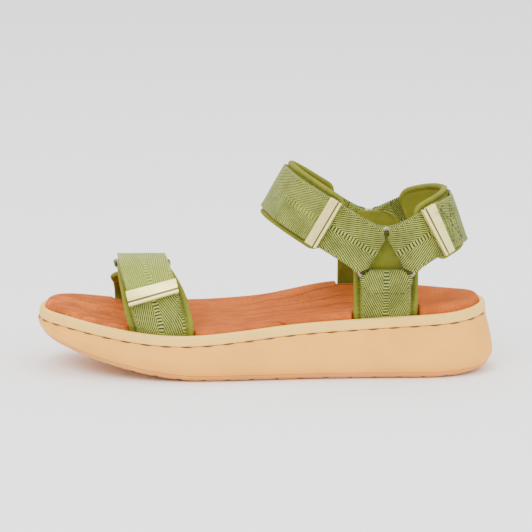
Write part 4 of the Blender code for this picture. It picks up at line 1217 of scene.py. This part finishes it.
def make_pad(prefix, route, start, end, look, runs):
    """A thick pad, swollen between its seams, with its seams and the middle of its outer face held."""
    strip = Strip(route, rounded_rows(start, end, PAD_LEVEL, PAD_WIDTH, 7), PAD_WIDTH, step=1.1)
    columns = 41
    piece = make_strip(prefix + "_cushion", strip, PAD, shared("brushed lining", lining, look.lining),
                       shape=pad_shape(0.3, 0.75, 0.35, 0.4), columns=columns)
    ring = 2 * (columns - 1)
    share = np.sin(np.linspace(-math.pi / 2, math.pi / 2, columns))
    across = np.abs(np.concatenate([share, share[-2:0:-1]])) * PAD_WIDTH / 2
    outer = np.arange(ring) < columns
    hold = (abs(across - (PAD_WIDTH / 2 - CHANNEL_INSET)) < 0.7) | (outer & (across < PAD_WIDTH / 2 - 3))
    held = np.concatenate([np.arange(ring)[hold] + k * ring for k in range(len(strip.s))])
    puff(piece, held, 3.0, 0.7)
    finish_piece(piece, ROOT, "lining", prefix + "_pad")
    runs["seam"] += rim_seams(strip, start + 4, end - 4, look, PAD_WIDTH, PAD - 0.9)


def make_ankle_strap(prefix, route, places, scene, runs):
    """A pad, the stub from the outer ring, and the strap from the inner ring that ends in the flap."""
    look = scene.sandal_straps
    pad_from, pad_short, stub_end, fold, tip_end = places
    end = route.length
    make_pad(prefix, route, pad_from, end - pad_short, look, runs)
    rows = turn_round(0, 0, 1, TAIL_LENGTH) + [(12, STRAP_LEVEL)] + span(16, stub_end, STRAP_LEVEL)
    make_web(prefix + "_stub_strap", Strip(route, rows, WEBBING_WIDTH), web_face(look), prefix + "_stub")
    rows = turn_round(end, 0, -1, TAIL_LENGTH) + [(end - 12, STRAP_LEVEL)]
    rows += span(end - 16, fold + 15, STRAP_LEVEL) + [(fold + 8, (STRAP_LEVEL + FLAP_LEVEL) / 2)]
    rows += span(fold + 3, tip_end + TIP_LENGTH, FLAP_LEVEL) + [(tip_end, FLAP_LEVEL)]
    strap = Strip(route, rows, WEBBING_WIDTH)
    piece = make_strip(prefix + "_strap", strap, WEBBING, web_back(look))
    flap = prefix + "_flap"
    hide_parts(prefix + "_inner_webbing", flap)
    hinge = place(route.at(fold, FLAP_LEVEL + WEBBING / 2))[0]
    lead = unit(unit(place(route.at(fold - 10, FLAP_LEVEL))[0] - hinge) + np.array([0, -0.8, 0]))
    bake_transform(piece)
    make_clip(prefix, route, tip_end, scene.sandal_fittings)
    return strap


def make_forefoot(scene, runs):
    """The padded outer side up to the buckle, the flap folded back over it, and the inner side."""
    look = scene.sandal_straps
    route, level = forefoot_route(), (STRAP_LEVEL + FLAP_LEVEL) / 2
    outer_bar, inner_bar = BUCKLE_S - BUCKLE_WIDTH / 2, BUCKLE_S + BUCKLE_WIDTH / 2
    outer_fit, inner_fit = follow_wall(-1, FRONT_OUTER_X), follow_wall(1, FRONT_INNER_X)
    lining_level, lining_end = -GAP / 2 - LINING / 2, outer_bar - 9
    taper = (FOREFOOT_TAPER_S, lining_end), (LINING_WIDTH, FOREFOOT_TOP_WIDTH)
    rows = [(s, lv, np.interp(s, *taper)) for s, lv in span(0, lining_end, lining_level)]
    make_lining("forefoot_cushion", Strip(route, rows, LINING_WIDTH, fit=outer_fit), "forefoot_lining",
                (6, 34), look, runs)
    turn = [(s, lv, WEBBING_WIDTH) for s, lv, *_ in turn_round(outer_bar, level, -1, 0)[2:-1]]
    strip = Strip(route, span(0, outer_bar - 10, STRAP_LEVEL) + turn, WEBBING_WIDTH, fit=outer_fit)
    make_web("forefoot_lower_strap", strip, web_face(look), "forefoot_webbing")
    rows = [(outer_bar - GAP / 2, level + LOOP_RADIUS), (outer_bar - 5, level + LOOP_RADIUS * 0.8)]
    rows += span(outer_bar - 11, FOREFOOT_TIP_S + TIP_LENGTH, FLAP_LEVEL) + [(FOREFOOT_TIP_S, FLAP_LEVEL)]
    make_web("forefoot_flap_strap", Strip(route, rows, WEBBING_WIDTH), web_satin(look), "forefoot_flap",
             "forefoot_flap")
    make_clip("forefoot", route, FOREFOOT_TIP_S, scene.sandal_fittings)
    centre = route.at(BUCKLE_S, level)[0]
    ahead, side = (route.look(field, np.array([BUCKLE_S]))[0] for field in (route.tangent, route.side))
    corners = [centre + ahead * a * BUCKLE_WIDTH / 2 + side * b * BUCKLE_LENGTH / 2
               for a, b in ((-1, -1), (-1, 1), (1, 1), (1, -1))]
    make_wire("forefoot_buckle", corners, scene.sandal_fittings, "forefoot_ring")
    end = route.length
    turn = [(s, lv, WEBBING_WIDTH) for s, lv, *_ in turn_round(inner_bar, level, 1, 9)]
    strip = Strip(route, turn + span(inner_bar + 13, end, STRAP_LEVEL), WEBBING_WIDTH, fit=inner_fit)
    make_web("forefoot_inner_strap", strip, web_face(look), "forefoot_inner_webbing")
    runs["row"].append(bar_seam(strip, inner_bar + 11))
    rows = [(inner_bar - 4, -3.4, 31), (inner_bar - 1, -3.4, 36), (inner_bar + 8, -3, LINING_WIDTH)]
    rows += span(inner_bar + 13, end, lining_level)
    make_lining("forefoot_inner_cushion", Strip(route, rows, LINING_WIDTH, fit=inner_fit),
                "forefoot_inner_lining", (inner_bar + 14, end - 6), look, runs)


# ---------------------------------------------------------------- operators


class SANDAL_OT_sole(bpy.types.Operator):
    """Make the foam midsole, the rand, the tread and the stitches between them"""

    bl_idname = "sandal.sole"
    bl_label = "Sole"

    def execute(self, context):
        for make in (make_outsole, make_midsole, make_rand, make_groove_stitches):
            make(context.scene.sandal_sole)
        return {"FINISHED"}


class SANDAL_OT_footbed(bpy.types.Operator):
    """Make the suede footbed and finish the board and foam inside it"""

    bl_idname = "sandal.footbed"
    bl_label = "Footbed"

    def execute(self, context):
        look = context.scene.sandal_sole
        make_footbed(look)
        for node, shade in (("footbed_core", 0.8), ("insole_board", 0.55)):
            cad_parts[node].data.materials[0] = foam(node.replace("_", " "), scaled(look.foam, shade))
        return {"FINISHED"}


class SANDAL_OT_straps(bpy.types.Operator):
    """Make the ankle straps, the anchors that hold their rings, the forefoot strap and all their seams"""

    bl_idname = "sandal.straps"
    bl_label = "Straps"

    def execute(self, context):
        scene, look = context.scene, context.scene.sandal_straps
        runs = {"seam": [], "row": []}
        make_anchor("outer", ANKLE_OUTER_X, RING_OUTER_Y, -1, scene, runs)
        make_anchor("inner", ANKLE_INNER_X, RING_INNER_Y, 1, scene, runs)
        make_ankle_strap("instep", instep_route(), INSTEP_STRAP, scene, runs)
        strap = make_ankle_strap("heel", heel_route(), HEEL_STRAP, scene, runs)
        make_forefoot(scene, runs)
        low, high, wide, out = 28.2, 35.5, 11.0, WEBBING / 2 + 0.05
        corners = [(low, -wide), (high, -wide), (high, wide), (low, wide), (low, -wide), (high, wide)]
        box = [stitch_line(strap, a[0], b[0], (a[1], b[1]), out, 2.6) for a, b in zip(corners, corners[1:])]
        box.append(stitch_line(strap, low, high, (wide, -wide), out, 2.6))
        seam_thread = thread("seam thread", scaled(look.webbing_shaded_gaps, 2.2))
        for name, sewn, stitch, body in (("lining_seams", runs["seam"], SEAM_STITCH, ROOT),
                                         ("webbing_seams", runs["row"], ROW_STITCH, ROOT),
                                         ("heel_flap_seams", box, ROW_STITCH, "heel_flap")):
            finish_piece(sew(name, sewn, stitch, seam_thread), body, "thread")
        cloth = fuzzy("hook and loop", look.fastener)
        for node in ("forefoot", "instep", "heel"):
            for half in ("_hook_patch", "_loop_patch"):
                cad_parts[node + half].data.materials[0] = cloth
        return {"FINISHED"}


def light_sky(world):
    """A plain studio surround, dim at the horizon and bright overhead."""
    world.use_nodes = True
    tree = world.node_tree
    way = add_node(tree, "ShaderNodeTexCoord").outputs["Generated"]
    up = add_node(tree, "ShaderNodeSeparateXYZ", {"Vector": way}).outputs["Z"]
    given = {"Value": up, "From Min": 0.0, "From Max": 0.6, "To Min": 0.6, "To Max": 1.9}
    ramp = add_node(tree, "ShaderNodeMapRange", given)
    back = tree.nodes["Background"]
    back.inputs["Color"].default_value = (1, 1, 1, 1)
    tree.links.new(ramp.outputs[0], back.inputs["Strength"])


LAMPS = (("key", (-0.7, -1.1, 1.5), 1.1, 24), ("fill", (1.2, -0.9, 0.9), 1.2, 9),
         ("top", (0.1, 0.5, 1.8), 1.2, 12))  # name, place, size and power
LIT_POINT, VIEWED_POINT = Vector((0, 0, 0.05)), Vector((0.0006, -0.0023, 0.0593))


def aimed(name, data, at, towards):
    """A lamp or camera that looks from one place towards another."""
    made = bpy.data.objects.new(name, data)
    made.location = at
    made.rotation_euler = (towards - Vector(at)).to_track_quat("-Z", "Y").to_euler()
    bpy.context.scene.collection.objects.link(made)
    return made


class SANDAL_OT_stage(bpy.types.Operator):
    """Lay the floor, hang the lights and place the camera"""

    bl_idname = "sandal.stage"
    bl_label = "Floor, lights and camera"

    def execute(self, context):
        scene, look = context.scene, context.scene.sandal_stage
        bpy.ops.mesh.primitive_plane_add(size=8)
        floor = context.object
        floor.name = "floor"
        paint = Paint("floor paint", Roughness=0.9)
        tint = paint.mix(paint.noise(3, 2), look.floor, scaled(look.floor, 1.02))
        floor.data.materials.append(paint.finish(tint))
        scene.world = scene.world or bpy.data.worlds.new("studio")
        light_sky(scene.world)
        for name, at, size, power in LAMPS:
            lamp = bpy.data.lights.new(name, "AREA")
            lamp.size, lamp.energy = size, power
            aimed(name, lamp, at, LIT_POINT)
        away = Vector((0, -math.cos(look.elevation), math.sin(look.elevation)))
        lens = bpy.data.cameras.new("camera")
        lens.lens = lens.sensor_width * look.distance / look.across
        scene.camera = aimed("camera", lens, VIEWED_POINT + away * look.distance, VIEWED_POINT)
        return {"FINISHED"}


class SANDAL_PT_panel(bpy.types.Panel):
    """Lists the sandal's settings and the buttons that make its pieces"""

    bl_idname = "SANDAL_PT_panel"
    bl_label = "Sport sandal"
    bl_space_type = "VIEW_3D"
    bl_region_type = "UI"
    bl_category = "Sandal"

    def draw(self, context):
        for group in (context.scene.sandal_sole, context.scene.sandal_straps, context.scene.sandal_fittings,
                      context.scene.sandal_stage):
            box = self.layout.box()
            for name in group.__annotations__:
                box.prop(group, name)
        for operator in OPERATORS:
            self.layout.operator(operator.bl_idname)


SETTINGS = {"sandal_sole": SoleSettings, "sandal_straps": StrapSettings, "sandal_fittings": FittingSettings,
            "sandal_stage": StageSettings}
OPERATORS = (SANDAL_OT_stage, SANDAL_OT_sole, SANDAL_OT_footbed, SANDAL_OT_straps)


def register():
    for made in (*SETTINGS.values(), *OPERATORS, SANDAL_PT_panel):
        bpy.utils.register_class(made)
    for name, group in SETTINGS.items():
        setattr(bpy.types.Scene, name, PointerProperty(type=group))


def unregister():
    for name in SETTINGS:
        delattr(bpy.types.Scene, name)
    for made in reversed((*SETTINGS.values(), *OPERATORS, SANDAL_PT_panel)):
        bpy.utils.unregister_class(made)


def main():
    register()
    bpy.ops.sandal.stage()
    bpy.ops.sandal.sole()
    bpy.ops.sandal.footbed()
    bpy.ops.sandal.straps()


if __name__ == "__main__":
    main()
